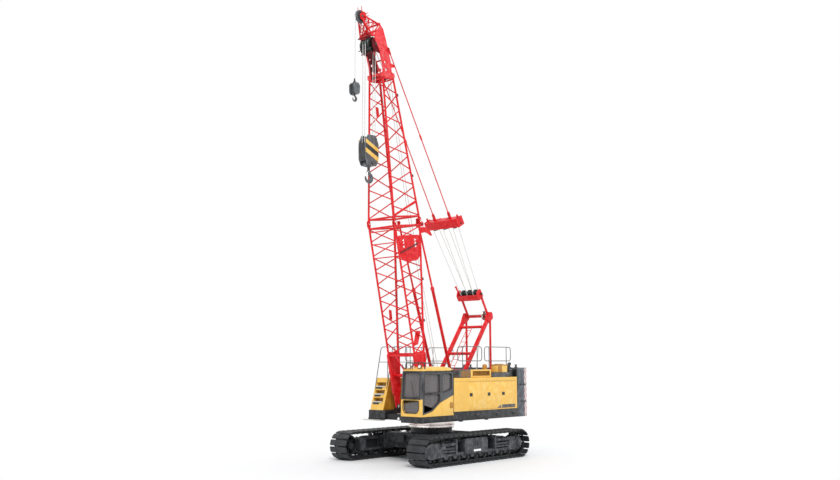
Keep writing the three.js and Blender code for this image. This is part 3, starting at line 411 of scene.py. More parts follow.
class Finish(Enum):
    """Every finish on the crane."""

    # Each paint gives its colour, its worn-edge colour and a darker colour for dust and painted shade in
    # concave corners.
    RED = Paint("red_paint", tint("e0101a"), tint("ee4a4e"), tint("6a0608"),
                roughness=0.38, fade=0.1, coat=0.05, shine=0.25)
    # A lighter copy of the red paint for the head plates: painted sheen.
    PAINTED_SHEEN_RED = Paint("red_paint_with_painted_sheen", tint("f23a40"), tint("f77a7c"), tint("7a0a0c"),
                     roughness=0.38, fade=0.08, coat=0.05, shine=0.3)
    # A dark copy of the red paint for parts that lie in shadow: painted shade.
    PAINTED_SHADE_RED = Paint("shaded_red_paint", tint("5e0f16"), tint("8a2a30"), tint("20060a"),
                   roughness=0.5, fade=0.1, coat=0.0, shine=0.15)
    YELLOW = Paint("yellow_paint", tint("f5c152"), tint("ffdf8e"), tint("a8772a"), fade=0.03)
    # A dark copy of the yellow paint: painted shade on the stair box's flank and pockets and in the
    # housings' seams and grooves; also used on the vent, the filter lid and the round cover.
    DARK_YELLOW_AND_SHADE = Paint("dark_yellow_and_painted_shade_paint", tint("b27a16"), tint("cf9a34"), tint("573508"),
                 roughness=0.42, fade=0.08)
    SLATE = Paint("slate_paint", tint("4c4d50"), tint("808388"), tint("202124"),
                  roughness=0.4, fade=0.04, coat=0.1, shine=0.35)
    SKIRT = Paint("skirt_paint", tint("1c1d1f"), tint("4c4e51"), tint("101011"),
                  roughness=0.42, fade=0.05, coat=0.1, shine=0.35)
    WEIGHT = Paint("counterweight_paint", tint("484d54"), tint("80878e"), tint("1d2024"),
                   roughness=0.42, fade=0.04, coat=0.1, shine=0.35)
    CHARCOAL = Paint("charcoal_paint", tint("222326"), tint("5c5e61"), tint("0a0a0b"),
                     roughness=0.44, fade=0.15, coat=0.05, metallic=0.2, shine=0.3)
    FRAME = Paint("track_frame_paint", tint("3c3d41"), tint("75777a"), tint("101011"),
                  roughness=0.46, fade=0.1, coat=0.05, metallic=0.2, shine=0.3)
    BLACK = Paint("black_paint", tint("17181a"), tint("4a4c50"), tint("060606"), roughness=0.4, fade=0.2)
    HOOK = Paint("hook_paint", tint("55595d"), tint("8b8f92"), tint("191a1b"),
                 roughness=0.42, fade=0.14, coat=0.1, metallic=0.2)
    RAIL = Paint("rail_paint", tint("31383f"), tint("6a727a"), tint("15181b"), roughness=0.4, fade=0.1)
    CREAM = Paint("cream_paint", tint("f4e3b4"), tint("fff6dc"), tint("8f8058"), roughness=0.4, fade=0.08)
    STRIPES = Striped("warning_stripes", tint("f3f1ee"), tint("a8101a"), pitch=0.235, slope=1.0)
    RING = Steel("polished_ring", tint("fff0ea"), tint("e6cfc8"), roughness=0.2, squeeze=(1.0, 1.0, 14.0))
    PIN = Steel("bright_pins", tint("b4b4b0"), tint("6a655f"))
    GREASED = Steel("greased_steel", tint("3b3f3d"), tint("1f201f"), roughness=0.38, metallic=0.8)
    TREAD = Steel("chequered_tread", tint("cfcdc6"), tint("8c8982"),
                  roughness=0.38, metallic=0.8, squeeze=(1.0, 1.0, 1.0))
    SHOE = Cast("track_steel", tint("111214"), tint("4a4c4f"), tint("4a4037"), soil_top=0.35)
    ENGINE = Cast("engine_casting", tint("3a3c3e"), tint("77797b"), tint("2a2320"))
    GLASS = Glass("tinted_glass", tint("6a6566"), cover=0.66)
    RUBBER = Moulded("black_rubber", tint("1a1a1b"), roughness=0.62, grain=90.0, depth=0.002)
    CLOTH = Moulded("woven_cloth", tint("2f3136"), roughness=0.88, grain=260.0, depth=0.003)
    PLASTIC = Moulded("grey_plastic", tint("3c3f44"), roughness=0.5, grain=120.0, depth=0.001)
    MESH = Moulded("amber_mesh", tint("a9792f"), roughness=0.55, grain=150.0, depth=0.004)
    WIRE = WireRope("wire_rope", tint("e8e8e4"))
    LAMP = Lens("lamp_glass", tint("f4f2ee"), glow=0.25)
    BLANK = Moulded("blank_plate", tint("f2f2ef"), roughness=0.4, grain=80.0, depth=0.001)


class Dresser:
    """Builds each finish once."""

    def __init__(self) -> None:
        """Starts with none built."""
        self.made: dict[Finish, bpy.types.Material] = {}

    def material(self, finish: Finish) -> bpy.types.Material:
        """The finish's material, built when it is first asked for."""
        if finish not in self.made:
            self.made[finish] = finish.value.build()
        return self.made[finish]


# ---------------------------------------------------------------- shapes
class Plane(Enum):
    """The plane of a plate's outline: each gives the axes of its two numbers and of its thickness."""

    SIDE = (0, 2, 1)
    FLAT = (0, 1, 2)
    CROSS = (1, 2, 0)

    def point(self, first: float, second: float, depth: float) -> Vector:
        """The point with these two numbers in the plane, at this depth."""
        spot = Vector()
        for axis, value in zip(self.value, (first, second, depth)):
            spot[axis] = value
        return spot


def toward(direction: Vector) -> Matrix:
    """The turn that takes +Z to a direction."""
    return Vector(UP).rotation_difference(direction).to_matrix().to_4x4()


def aimed(origin: Point, target: Point) -> Matrix:
    """A frame at origin whose +X runs to target, in the XZ plane, with +Y kept."""
    run = Vector(target) - Vector(origin)
    return Matrix.Translation(origin) @ Matrix.Rotation(-math.atan2(run.z, run.x), 4, "Y")


def circle(count: int, radius: float, centre: Point, plane: Plane) -> list[list[float]]:
    """Points evenly round a centre, in a plane."""
    spots = []
    for i in range(count):
        spot, angle = list(centre), math.tau * i / count
        spot[plane.value[0]] += radius * math.cos(angle)
        spot[plane.value[1]] += radius * math.sin(angle)
        spots.append(spot)
    return spots


def there_and_back(half: Sequence[Point]) -> list[Point]:
    """Half of a symmetrical outline, followed by its reflection: the second numbers change sign."""
    return [*half, *((first, -second) for first, second in reversed(half))]


def taper(middle: float, low: float, low_half: float, high: float, high_half: float) -> list[Point]:
    """The four corners of an upright trapezium."""
    return [
        (middle - low_half, low), (middle + low_half, low), (middle + high_half, high),
        (middle - high_half, high),
    ]


class Shape:
    """Closed shells gathered in one mesh."""

    def __init__(self, place: Matrix = Matrix()) -> None:
        """Starts an empty shape.

        Args:
            place: Where its own frame stands.
        """
        self.mesh = bmesh.new()
        self.place = place

    def take(self, part: bmesh.types.BMesh, spots: Iterable[Matrix] = (Matrix(),)) -> None:
        """Adds a shell, once at each spot, with its faces turned outwards."""
        bmesh.ops.remove_doubles(part, verts=part.verts, dist=MERGE_DISTANCE)
        bmesh.ops.recalc_face_normals(part, faces=part.faces)
        held = bpy.data.meshes.new("shell")
        part.to_mesh(held)
        part.free()
        for spot in spots:
            first_vert, first_face = len(self.mesh.verts), len(self.mesh.faces)
            self.mesh.from_mesh(held)
            self.mesh.verts.ensure_lookup_table()
            bmesh.ops.transform(self.mesh, matrix=spot, verts=self.mesh.verts[first_vert:])
            if spot.determinant() < 0:
                self.mesh.faces.ensure_lookup_table()
                bmesh.ops.reverse_faces(self.mesh, faces=self.mesh.faces[first_face:])
        bpy.data.meshes.remove(held)

    def repeat(self, other: "Shape", spots: Iterable[Matrix]) -> None:
        """Adds another shape at each spot and uses it up."""
        self.take(other.mesh, spots)

    def mirrored(self) -> "Shape":
        """A copy on the other side of the crane."""
        twin = Shape(self.place)
        twin.take(self.mesh.copy(), [Matrix.Scale(-1, 4, ACROSS)])
        return twin

    def both_sides(self) -> "Shape":
        """This shape and its mirror image as one."""
        self.take(self.mesh.copy(), [Matrix.Scale(-1, 4, ACROSS)])
        return self

    def cut(self, tool: "Shape") -> None:
        """Cuts a closed tool out of the shape."""
        objects = []
        for mesh in (self.mesh, tool.mesh):
            held = bpy.data.meshes.new("cut")
            mesh.to_mesh(held)
            mesh.free()
            objects.append(bpy.data.objects.new("cut", held))
            bpy.context.collection.objects.link(objects[-1])
        body, cutter = objects
        knife = body.modifiers.new("cut", "BOOLEAN")
        knife.operation = "DIFFERENCE"
        knife.solver = "EXACT"
        knife.object = cutter
        bpy.context.view_layer.update()
        result = bpy.data.meshes.new_from_object(body.evaluated_get(bpy.context.evaluated_depsgraph_get()))
        self.mesh = bmesh.new()
        self.mesh.from_mesh(result)
        for spare in objects:
            spare_mesh = spare.data
            bpy.data.objects.remove(spare)
            bpy.data.meshes.remove(spare_mesh)
        bpy.data.meshes.remove(result)

    @staticmethod
    def soften(part: bmesh.types.BMesh, width: float, steps: int = 2, angle: float = 30.0) -> None:
        """Rounds every edge sharper than an angle in degrees."""
        if width <= 0:
            return
        sharp = [
            edge for edge in part.edges
            if len(edge.link_faces) == 2 and edge.calc_face_angle(0.0) > math.radians(angle)
        ]
        bmesh.ops.bevel(
            part, geom=sharp, offset=width, offset_type="OFFSET", segments=steps, profile=0.5,
            affect="EDGES", clamp_overlap=True, material=-1,
        )

    def copy_of(self, node: str, soft: float, steps: int = 2) -> "Shape":
        """Adds a copy of a CAD node with its edges rounded.

        Args:
            node: The node's name.
            soft: The width of the rounding.
            steps: Its segments.

        Returns:
            The shape itself.
        """
        part = bmesh.new()
        part.from_mesh(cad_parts[node].data)
        bmesh.ops.remove_doubles(part, verts=part.verts, dist=CAD_MERGE_DISTANCE)
        bmesh.ops.dissolve_limit(
            part, angle_limit=math.radians(0.5), verts=part.verts, edges=part.edges,
            use_dissolve_boundaries=False,
        )
        self.soften(part, soft, steps)
        self.take(part, [Matrix.Translation(-Vector((SLEW_AXIS.x, SLEW_AXIS.y, 0)))])
        return self

    def box(self, low: Point, high: Point, soft: float = 0.006, steps: int = 1) -> "Shape":
        """Adds a box between two corners."""
        part = bmesh.new()
        low, high = Vector(low), Vector(high)
        size = high - low
        bmesh.ops.create_cube(
            part, size=1.0,
            matrix=Matrix.Translation((low + high) / 2) @ Matrix.Diagonal((*size, 1.0)),
        )
        self.soften(part, min(soft, min(size) * 0.4), steps)
        self.take(part)
        return self

    def beam(self, start: Point, end: Point, high: float, wide: float, soft: float = 0.008) -> "Shape":
        """Adds a box section between two points in an XZ plane, with its sides parallel to Y."""
        run = Vector(end) - Vector(start)
        part = bmesh.new()
        bmesh.ops.create_cube(part, size=1.0, matrix=(
            aimed(start, end) @ Matrix.Translation((run.length / 2, 0, 0))
            @ Matrix.Diagonal((run.length, wide, high, 1.0))
        ))
        self.soften(part, soft)
        self.take(part)
        return self

    def tube(self, start: Point, end: Point, radius: float, sides: int = 16, tip: float = 0.0) -> "Shape":
        """Adds a round bar.

        Args:
            start: The middle of one end.
            end: The middle of the other end.
            radius: At the start.
            sides: Of its section.
            tip: The radius at the end, where it differs.

        Returns:
            The shape itself.
        """
        start, end = Vector(start), Vector(end)
        run = end - start
        part = bmesh.new()
        bmesh.ops.create_cone(
            part, cap_ends=True, cap_tris=False, segments=sides, radius1=radius, radius2=tip or radius,
            depth=run.length, matrix=Matrix.Translation((start + end) / 2) @ toward(run),
        )
        self.take(part)
        return self

    def turned(self, profile: Sequence[Sequence[float]], centre: Point, axis: Point,
               sides: int = 32, ring: bool = False) -> "Shape":
        """Adds a turned piece.

        Args:
            profile: Radius and height of each corner, from the axis back to the axis.
            centre: The origin of the heights.
            axis: The direction that the heights run in.
            sides: Segments round it.
            ring: Whether the profile closes on itself and leaves a bore.

        Returns:
            The shape itself.
        """
        part = bmesh.new()
        place = Matrix.Translation(centre) @ toward(Vector(axis))
        verts = [part.verts.new(place @ Vector((radius, 0, height))) for radius, height in profile]
        pairs = list(zip(verts, verts[1:])) + ([(verts[-1], verts[0])] if ring else [])
        edges = [part.edges.new(pair) for pair in pairs]
        bmesh.ops.spin(
            part, geom=verts + edges, cent=centre, axis=axis, dvec=(0, 0, 0), angle=math.tau,
            steps=sides, use_merge=True, use_normal_flip=False, use_duplicate=False,
        )
        self.take(part)
        return self

    def disc(self, centre: Point, axis: Point, radius: float, thick: float, soft: float = 0.005,
             sides: int = 24) -> "Shape":
        """Adds a round plate centred on a point, with rounded rims."""
        half = thick / 2
        soft = min(soft, half * 0.8)
        return self.turned(there_and_back([(0, -half), (radius - soft, -half), (radius, soft - half)]),
                           centre, axis, sides)

    def plate(self, outline: Sequence[Sequence[float]], plane: Plane, low: float, high: float,
              soft: float = 0.004, rounding: float = 0.0) -> "Shape":
        """Adds a plate.

        Args:
            outline: The corners.
            plane: The plane that they lie in.
            low: Where the thickness starts.
            high: Where it ends.
            soft: Rounding of its rims.
            rounding: Rounding of its corners.

        Returns:
            The shape itself.
        """
        part = bmesh.new()
        verts = [part.verts.new(plane.point(a, b, low)) for a, b in outline]
        face = bmesh.ops.contextual_create(part, geom=verts)["faces"][0]
        made = bmesh.ops.extrude_face_region(part, geom=[face], use_keep_orig=True)["geom"]
        lifted = [item for item in made if isinstance(item, bmesh.types.BMVert)]
        bmesh.ops.translate(part, verts=lifted, vec=plane.point(0, 0, high - low))
        if rounding:
            depth, half = plane.value[2], abs(high - low) / 2
            upright = [e for e in part.edges if abs(e.verts[0].co[depth] - e.verts[1].co[depth]) > half]
            bmesh.ops.bevel(
                part, geom=upright, offset=rounding, offset_type="OFFSET", segments=5, profile=0.5,
                affect="EDGES", clamp_overlap=True, material=-1,
            )
        bmesh.ops.recalc_face_normals(part, faces=part.faces)
        self.soften(part, min(soft, abs(high - low) * 0.35), 1, 40.0)
        self.take(part)
        return self

    def sweep(self, stations: Sequence[tuple[Vector, Vector, float]], sides: int = 10) -> "Shape":
        """Adds a round section that follows a line.

        Args:
            stations: The point, direction and radius of each ring.
            sides: Of the section.

        Returns:
            The shape itself.
        """
        part = bmesh.new()
        spot, heading, radius = stations[0]
        bmesh.ops.create_circle(
            part, cap_ends=True, segments=sides, radius=radius,
            matrix=Matrix.Translation(spot) @ toward(heading),
        )
        rim = list(part.edges)
        for next_spot, next_heading, next_radius in stations[1:]:
            made = bmesh.ops.extrude_edge_only(part, edges=rim)["geom"]
            fresh = {item for item in made if isinstance(item, bmesh.types.BMVert)}
            rim = [e for e in made if isinstance(e, bmesh.types.BMEdge) and set(e.verts) <= fresh]
            turn = heading.rotation_difference(next_heading).to_matrix().to_4x4()
            bmesh.ops.transform(part, verts=list(fresh), matrix=(
                Matrix.Translation(next_spot) @ turn @ Matrix.Scale(next_radius / radius, 4)
                @ Matrix.Translation(-spot)
            ))
            spot, heading, radius = next_spot, next_heading, next_radius
        bmesh.ops.contextual_create(part, geom=rim)
        self.take(part)
        return self

    def pipe(self, points: Sequence[Point], radius: float, corner: float = 0.06, sides: int = 8,
             steps: int = 4) -> "Shape":
        """Adds a bent bar with round corners through some points."""
        path = [Vector(point) for point in points]
        stations = [(path[0], (path[1] - path[0]).normalized(), radius)]
        for before, at, after in zip(path, path[1:], path[2:]):
            inward, outward = (at - before).normalized(), (after - at).normalized()
            reach = min(corner, (at - before).length * 0.45, (after - at).length * 0.45)
            for i in range(steps + 1):
                t = i / steps
                spot = at - inward * reach * (1 - t) ** 2 + outward * reach * t * t
                stations.append((spot, inward.lerp(outward, t).normalized(), radius))
        stations.append((path[-1], (path[-1] - path[-2]).normalized(), radius))
        return self.sweep(stations, sides)

    def bolts(self, spots: Iterable[Point], axis: Point, radius: float, high: float) -> "Shape":
        """Adds hexagonal bolt heads that stand up along an axis."""
        head = bmesh.new()
        bmesh.ops.create_cone(
            head, cap_ends=True, cap_tris=False, segments=6, radius1=radius, radius2=radius * 0.86,
            depth=high, matrix=Matrix.Translation((0, 0, high / 2)),
        )
        turn = toward(Vector(axis))
        self.take(head, [Matrix.Translation(spot) @ turn for spot in spots])
        return self


class Shop:
    """Turns shapes into finished pieces of the crane."""

    def __init__(self) -> None:
        """Starts with an empty count."""
        self.dresser = Dresser()
        self.triangles = 0
        self.pieces = 0

    def piece(self, name: str, shape: Shape, finish: Finish, body: str,
              replaces: Sequence[str] = (), smooth: float = SMOOTH_ANGLE) -> bpy.types.Object:
        """Makes a piece and lets it ride on its body.

        Args:
            name: The piece's name.
            shape: Its shape, which is used up.
            finish: Its finish.
            body: The body that it moves with.
            replaces: CAD nodes that it stands for.
            smooth: Edges sharper than this, in degrees, stay sharp.

        Returns:
            The object.
        """
        obj = self.loose(name, shape, finish, smooth)
        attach(obj, body)
        if replaces:
            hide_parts(*replaces)
        return obj

    def loose(self, name: str, shape: Shape, finish: Finish,
              smooth: float = SMOOTH_ANGLE) -> bpy.types.Object:
        """Makes a piece that rides on nothing yet."""
        mesh = shape.mesh
        bmesh.ops.transform(mesh, verts=mesh.verts, matrix=(
            Matrix.Translation((SLEW_AXIS.x, SLEW_AXIS.y, 0)) @ shape.place
        ))
        if shape.place.determinant() < 0:
            bmesh.ops.reverse_faces(mesh, faces=mesh.faces)
        for face in mesh.faces:
            face.smooth = True
        for edge in mesh.edges:
            edge.smooth = edge.calc_face_angle(math.pi) < math.radians(smooth)
        data = bpy.data.meshes.new(name)
        mesh.to_mesh(data)
        mesh.free()
        data.materials.append(self.dresser.material(finish))
        obj = bpy.data.objects.new(name, data)
        bpy.context.scene.collection.objects.link(obj)
        count = sum(len(polygon.vertices) - 2 for polygon in data.polygons)
        self.triangles += count
        self.pieces += 1
        LOG.info("%s: %d triangles", name, count)
        return obj

    def dress(self, node: str, finish: Finish) -> None:
        """Gives a CAD node that stays a better finish."""
        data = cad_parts[node].data
        data.materials.clear()
        data.materials.append(self.dresser.material(finish))


# ---------------------------------------------------------------- undercarriage
@dataclass
class CrawlerTracks:
    """The two tracks with their shoes, frames, rollers and end wheels."""

    length: float = 6.0
    height: float = 1.03
    gauge: float = 3.77
    shoe_width: float = 0.84
    shoe_count: int = 50
    shoe_gap: float = 0.055
    band: float = 0.12
    roller_radius: float = 0.095
    roller_count: int = 9
    carrier_radius: float = 0.068
    carriers: tuple[float, float] = (-0.93, 0.93)
    frame_inner: float = 0.215
    frame_outer: float = 0.235

    def __post_init__(self) -> None:
        """Works out the sizes that follow."""
        self.radius = self.height / 2
        self.wheel_x = self.length / 2 - self.radius
        self.middle = self.gauge / 2
        self.around = 4 * self.wheel_x + math.tau * self.radius
        self.pitch = self.around / self.shoe_count

    def spot(self, distance: float) -> Matrix:
        """The frame of a place on the loop: +X along it and +Z outwards."""
        straight, bend = 2 * self.wheel_x, math.pi * self.radius
        s = distance % self.around
        if s < straight:
            at, turn = (-self.wheel_x + s, 0.0), 0.0
        elif s < straight + bend:
            turn = (s - straight) / self.radius
            at = (self.wheel_x + self.radius * math.sin(turn), self.radius - self.radius * math.cos(turn))
        elif s < 2 * straight + bend:
            turn = math.pi
            at = (self.wheel_x - (s - straight - bend), self.height)
        else:
            turn = math.pi + (s - 2 * straight - bend) / self.radius
            at = (-self.wheel_x + self.radius * math.sin(turn), self.radius - self.radius * math.cos(turn))
        flip = Matrix.Rotation(math.pi, 4, "X")
        return Matrix.Translation((at[0], self.middle, at[1])) @ Matrix.Rotation(-turn, 4, "Y") @ flip

    def shoe(self) -> Shape:
        """One shoe with its outer face at height 0: pads, driving lugs and the rails of the chain."""
        half = (self.pitch - self.shoe_gap) / 2
        side = self.shoe_width / 2
        shape = Shape()
        shape.plate([
            (-half, -side + 0.03), (-half + 0.03, -side), (half - 0.03, -side), (half, -side + 0.03),
            (half, side - 0.03), (half - 0.03, side), (-half + 0.03, side), (-half, side - 0.03),
        ], Plane.FLAT, -0.05, -0.012, 0.006)
        for low, high in ((0.12, side - 0.035), (-side + 0.035, -0.12)):
            shape.box((-half + 0.022, low, -0.02), (half - 0.022, high, -0.001), 0.006)
            shape.box((-half + 0.06, low + 0.03, -0.06), (half - 0.06, high - 0.06, -0.045), 0.0)
        for y in (-0.062, 0.062):
            shape.disc((0, y, -0.01), UP, 0.038, 0.018, 0.004, 8)
        for sign in BOTH:
            shape.box((-half, sign * 0.15, -0.118), (half, sign * 0.2, -0.045), 0.008)
            shape.plate([
                (-0.06, -0.048), (0.06, -0.048), (0.03, -0.135), (-0.03, -0.135),
            ], Plane.SIDE, sign * 0.08, sign * 0.125, 0.0)
        shape.tube((self.pitch / 2, -0.21, -0.078), (self.pitch / 2, 0.21, -0.078), 0.026, 8)
        return shape

    def loop(self) -> Shape:
        """All the shoes of one track."""
        shape = Shape()
        spots = [self.spot(self.wheel_x + i * self.pitch) for i in range(self.shoe_count)]
        shape.repeat(self.shoe(), spots)
        return shape

    def roller(self, radius: float, half: float) -> list[Point]:
        """A roller's profile: a slim waist between two treads with flanges."""
        return there_and_back([
            (0, -half - 0.03), (radius * 0.45, -half - 0.03), (radius * 0.5, -half),
            (radius, -half), (radius, -half * 0.66), (radius * 0.55, -half * 0.6),
        ])

    def rollers(self) -> Shape:
        """The lower and upper rollers of one track."""
        shape = Shape()
        reach = self.wheel_x - 0.389 - 0.03 - self.roller_radius - 0.02
        for i in range(self.roller_count):
            x = (i / (self.roller_count - 1) - 0.5) * 2 * reach
            z = self.band + 0.004 + self.roller_radius
            shape.turned(self.roller(self.roller_radius, 0.21), (x, self.middle, z), ACROSS, 16)
        for x in self.carriers:
            z = self.height - self.band - 0.075
            shape.turned(self.roller(self.carrier_radius, 0.2), (x, self.middle, z), ACROSS, 16)
        return shape

    def guards(self) -> Shape:
        """The long plates between a track's rollers and its chain."""
        shape = Shape()
        for y in (-0.09, 0.09):
            shape.plate([
                (-2.2, 0.31), (-2.1, 0.16), (2.1, 0.16), (2.2, 0.31),
            ], Plane.SIDE, self.middle + y - 0.006, self.middle + y + 0.006, 0.0)
        return shape

    def side_frame(self) -> Shape:
        """The welded box frame of one track, with its deep pockets."""
        inner, outer = self.middle - self.frame_inner, self.middle + self.frame_outer
        shape = Shape().plate([
            (-2.02, 0.3), (2.02, 0.3), (2.02, 0.72), (1.72, 0.81), (-1.72, 0.81), (-2.02, 0.72),
        ], Plane.SIDE, inner, outer, 0.012)
        tool = Shape()
        for rear, front, deep, low, high in (
            (0.74, 1.1, 0.3, 0.42, 0.9), (-1.0, -0.62, 0.3, 0.42, 0.9), (1.2, 1.95, 0.12, 0.6, 0.9),
            (1.18, 1.72, 0.1, 0.4, 0.52), (-1.95, -1.12, 0.12, 0.6, 0.9), (-1.9, -1.15, 0.1, 0.4, 0.52),
        ):
            tool.box((rear, outer - deep, low), (front, outer + 0.05, high), 0.02)
        for x in (-1.4, 0.0, 1.4):
            tool.box((x - 0.35, inner - 0.05, 0.4), (x + 0.35, inner + 0.08, 0.7), 0.02)
        shape.cut(tool)
        return shape

    def frame_details(self) -> Shape:
        """Covers, brackets, tension rods and bolts on one track frame."""
        face = self.middle + self.frame_outer
        shape = Shape()
        shape.plate([
            (-0.6, 0.31), (0.72, 0.31), (0.72, 0.86), (-0.5, 0.86), (-0.6, 0.8),
        ], Plane.SIDE, face - 0.02, face + 0.05, 0.01)
        shape.turned([
            (0, 0), (0.11, 0), (0.11, 0.02), (0.095, 0.035), (0.07, 0.035), (0.06, 0.02), (0, 0.02),
        ], (0.05, face + 0.048, 0.63), ACROSS, 24)
        for x in (-0.33, 0.42):
            shape.plate(taper(x, 0.66, 0.12, 0.74, 0.12), Plane.SIDE, face + 0.045, face + 0.06, 0.004,
                        0.03)
        shape.box((-0.56, face + 0.045, 0.33), (0.68, face + 0.075, 0.37), 0.01)
        shape.box((0.72, face - 0.1, 0.34), (1.12, face + 0.03, 0.4), 0.01)
        shape.box((-1.02, face - 0.1, 0.34), (-0.6, face + 0.03, 0.4), 0.01)
        for x in (1.14, -1.08):
            shape.box((x - 0.04, face - 0.12, 0.31), (x + 0.04, face + 0.04, 0.88), 0.01)
        for low, high in ((1.2, 1.95), (-1.95, -1.12)):
            shape.tube((low, face - 0.03, 0.7), (high, face - 0.03, 0.7), 0.06, 14)
            for x in (low + 0.12, (low + high) / 2, high - 0.12):
                shape.disc((x, face - 0.03, 0.7), AHEAD, 0.085, 0.05, 0.01, 16)
            shape.tube((low, face - 0.02, 0.46), (high - 0.05, face - 0.02, 0.46), 0.035, 10)
        shape.plate([
            (1.78, 0.3), (2.5, 0.24), (2.72, 0.32), (2.8, 0.5), (2.72, 0.7), (2.5, 0.79), (2.05, 0.79),
        ], Plane.SIDE, face - 0.03, face + 0.02, 0.008, 0.04)
        shape.plate([
            (1.74, 0.56), (2.06, 0.56), (2.02, 0.66), (1.74, 0.68),
        ], Plane.SIDE, face + 0.015, face + 0.05, 0.008, 0.02)
        shape.disc((self.wheel_x, face + 0.02, self.radius), ACROSS, 0.13, 0.06, 0.012, 28)
        shape.bolts([
            (self.wheel_x + 0.19 * math.cos(a), face + 0.018, self.radius + 0.19 * math.sin(a))
            for a in (0.5, 1.6, 2.7, 3.8, 4.9, 6.0)
        ], ACROSS, 0.02, 0.018)
        shape.plate([
            (-1.86, 0.3), (-2.3, 0.27), (-2.3, 0.42), (-2.24, 0.62), (-2.3, 0.76), (-1.95, 0.79),
        ], Plane.SIDE, face - 0.03, face + 0.02, 0.008, 0.02)
        for i in range(self.roller_count - 1):
            x = (i + 0.5) / (self.roller_count - 1) * 3.86 - 1.93
            shape.plate(taper(x, 0.31, 0.13, 0.2, 0.06), Plane.SIDE, face - 0.05, face + 0.01, 0.008)
            shape.bolts([(x - 0.05, face + 0.01, 0.27), (x + 0.05, face + 0.01, 0.27)], ACROSS, 0.016,
                        0.014)
        for x in self.carriers:
            shape.plate(taper(x, 0.8, 0.12, 0.88, 0.05), Plane.SIDE, self.middle - 0.1, self.middle + 0.1,
                        0.008)
        shape.bolts([
            (x, face + 0.048, z) for x in (-0.54, -0.2, 0.3, 0.66) for z in (0.42, 0.8)
        ], ACROSS, 0.018, 0.014)
        return shape

    def drive_hub(self) -> Shape:
        """The final drive at the rear of one track, with its ring of bolts."""
        centre = (-self.wheel_x, self.middle, self.radius)
        shape = Shape().turned([
            (0, 0.34), (0.1, 0.34), (0.13, 0.32), (0.13, 0.29), (0.2, 0.27), (0.23, 0.25), (0.23, 0.13),
            (0.27, 0.12), (0.27, -0.02), (0, -0.02),
        ][::-1], centre, ACROSS, 36)
        shape.turned([
            (0, -0.3), (0.2, -0.3), (0.24, -0.26), (0.24, 0.0), (0, 0.0),
        ], centre, ACROSS, 32)
        face = (centre[0], centre[1] + 0.28, centre[2])
        shape.bolts(circle(12, 0.17, face, Plane.SIDE), ACROSS, 0.014, 0.016)
        return shape

    def sprocket(self) -> Shape:
        """The driving wheel: two toothed rims on a drum."""
        centre = (-self.wheel_x, self.middle, self.radius)
        shape = Shape().turned(there_and_back([(0, -0.17), (0.29, -0.17), (0.3, -0.14)]), centre, ACROSS,
                               32)
        for y in (-0.03, 0.03):
            shape.turned([
                (0.2, y - 0.025), (0.355, y - 0.025), (0.355, y + 0.025), (0.2, y + 0.025),
            ], centre, ACROSS, 32, True)
        tooth = Shape().plate([
            (-0.05, 0.34), (0.05, 0.34), (0.025, 0.392), (-0.025, 0.392),
        ], Plane.SIDE, -0.055, 0.055, 0.006)
        shape.repeat(tooth, [
            Matrix.Translation(centre) @ Matrix.Rotation(i * math.tau / 14, 4, "Y") for i in range(14)
        ])
        return shape

    def idler(self) -> Shape:
        """The front wheel: a spoked casting with a guiding rib."""
        centre = (self.wheel_x, self.middle, self.radius)
        shape = Shape().turned(
            there_and_back([(0.3, -0.15), (0.33, -0.15), (0.33, -0.07), (0.386, -0.06)]), centre, ACROSS,
            36, True,
        )
        shape.turned(there_and_back([(0, -0.19), (0.12, -0.19), (0.14, -0.15)]), centre, ACROSS, 28)
        spoke = Shape().box((-0.035, -0.04, 0.1), (0.035, 0.04, 0.31), 0.01)
        shape.repeat(spoke, [
            Matrix.Translation(centre) @ Matrix.Rotation(i * math.tau / 8, 4, "Y") for i in range(8)
        ])
        return shape

    def label(self) -> Shape:
        """A blank plate on one track frame."""
        return Shape().box((-0.18, 2.168, 0.39), (0.22, 2.176, 0.46), 0.002)

    def build(self, shop: Shop) -> None:
        """Builds both tracks."""
        steel, paint = "track_steel", "charcoal_paint"
        rows = (
            ("track_shoes", self.loop, Finish.SHOE, steel, "track"),
            ("track_rollers", self.rollers, Finish.SHOE, steel, ""),
            ("roller_guards", self.guards, Finish.SHOE, steel, ""),
            ("side_frame", self.side_frame, Finish.FRAME, paint, "track_frame"),
            ("frame_details", self.frame_details, Finish.FRAME, paint, ""),
            ("final_drive", self.drive_hub, Finish.FRAME, paint, ""),
            ("drive_sprocket", self.sprocket, Finish.SHOE, steel, "sprocket"),
            ("idler_wheel", self.idler, Finish.SHOE, steel, "idler"),
            ("blank_label", self.label, Finish.BLANK, paint, ""),
        )
        for side in ("left", "right"):
            for name, make, finish, slot, node in rows:
                shape = make() if side == "left" else make().mirrored()
                replaced = [f"{side}_{node}"] if node else ()
                shop.piece(f"{side}_{name}", shape, finish, "undercarriage", replaced)


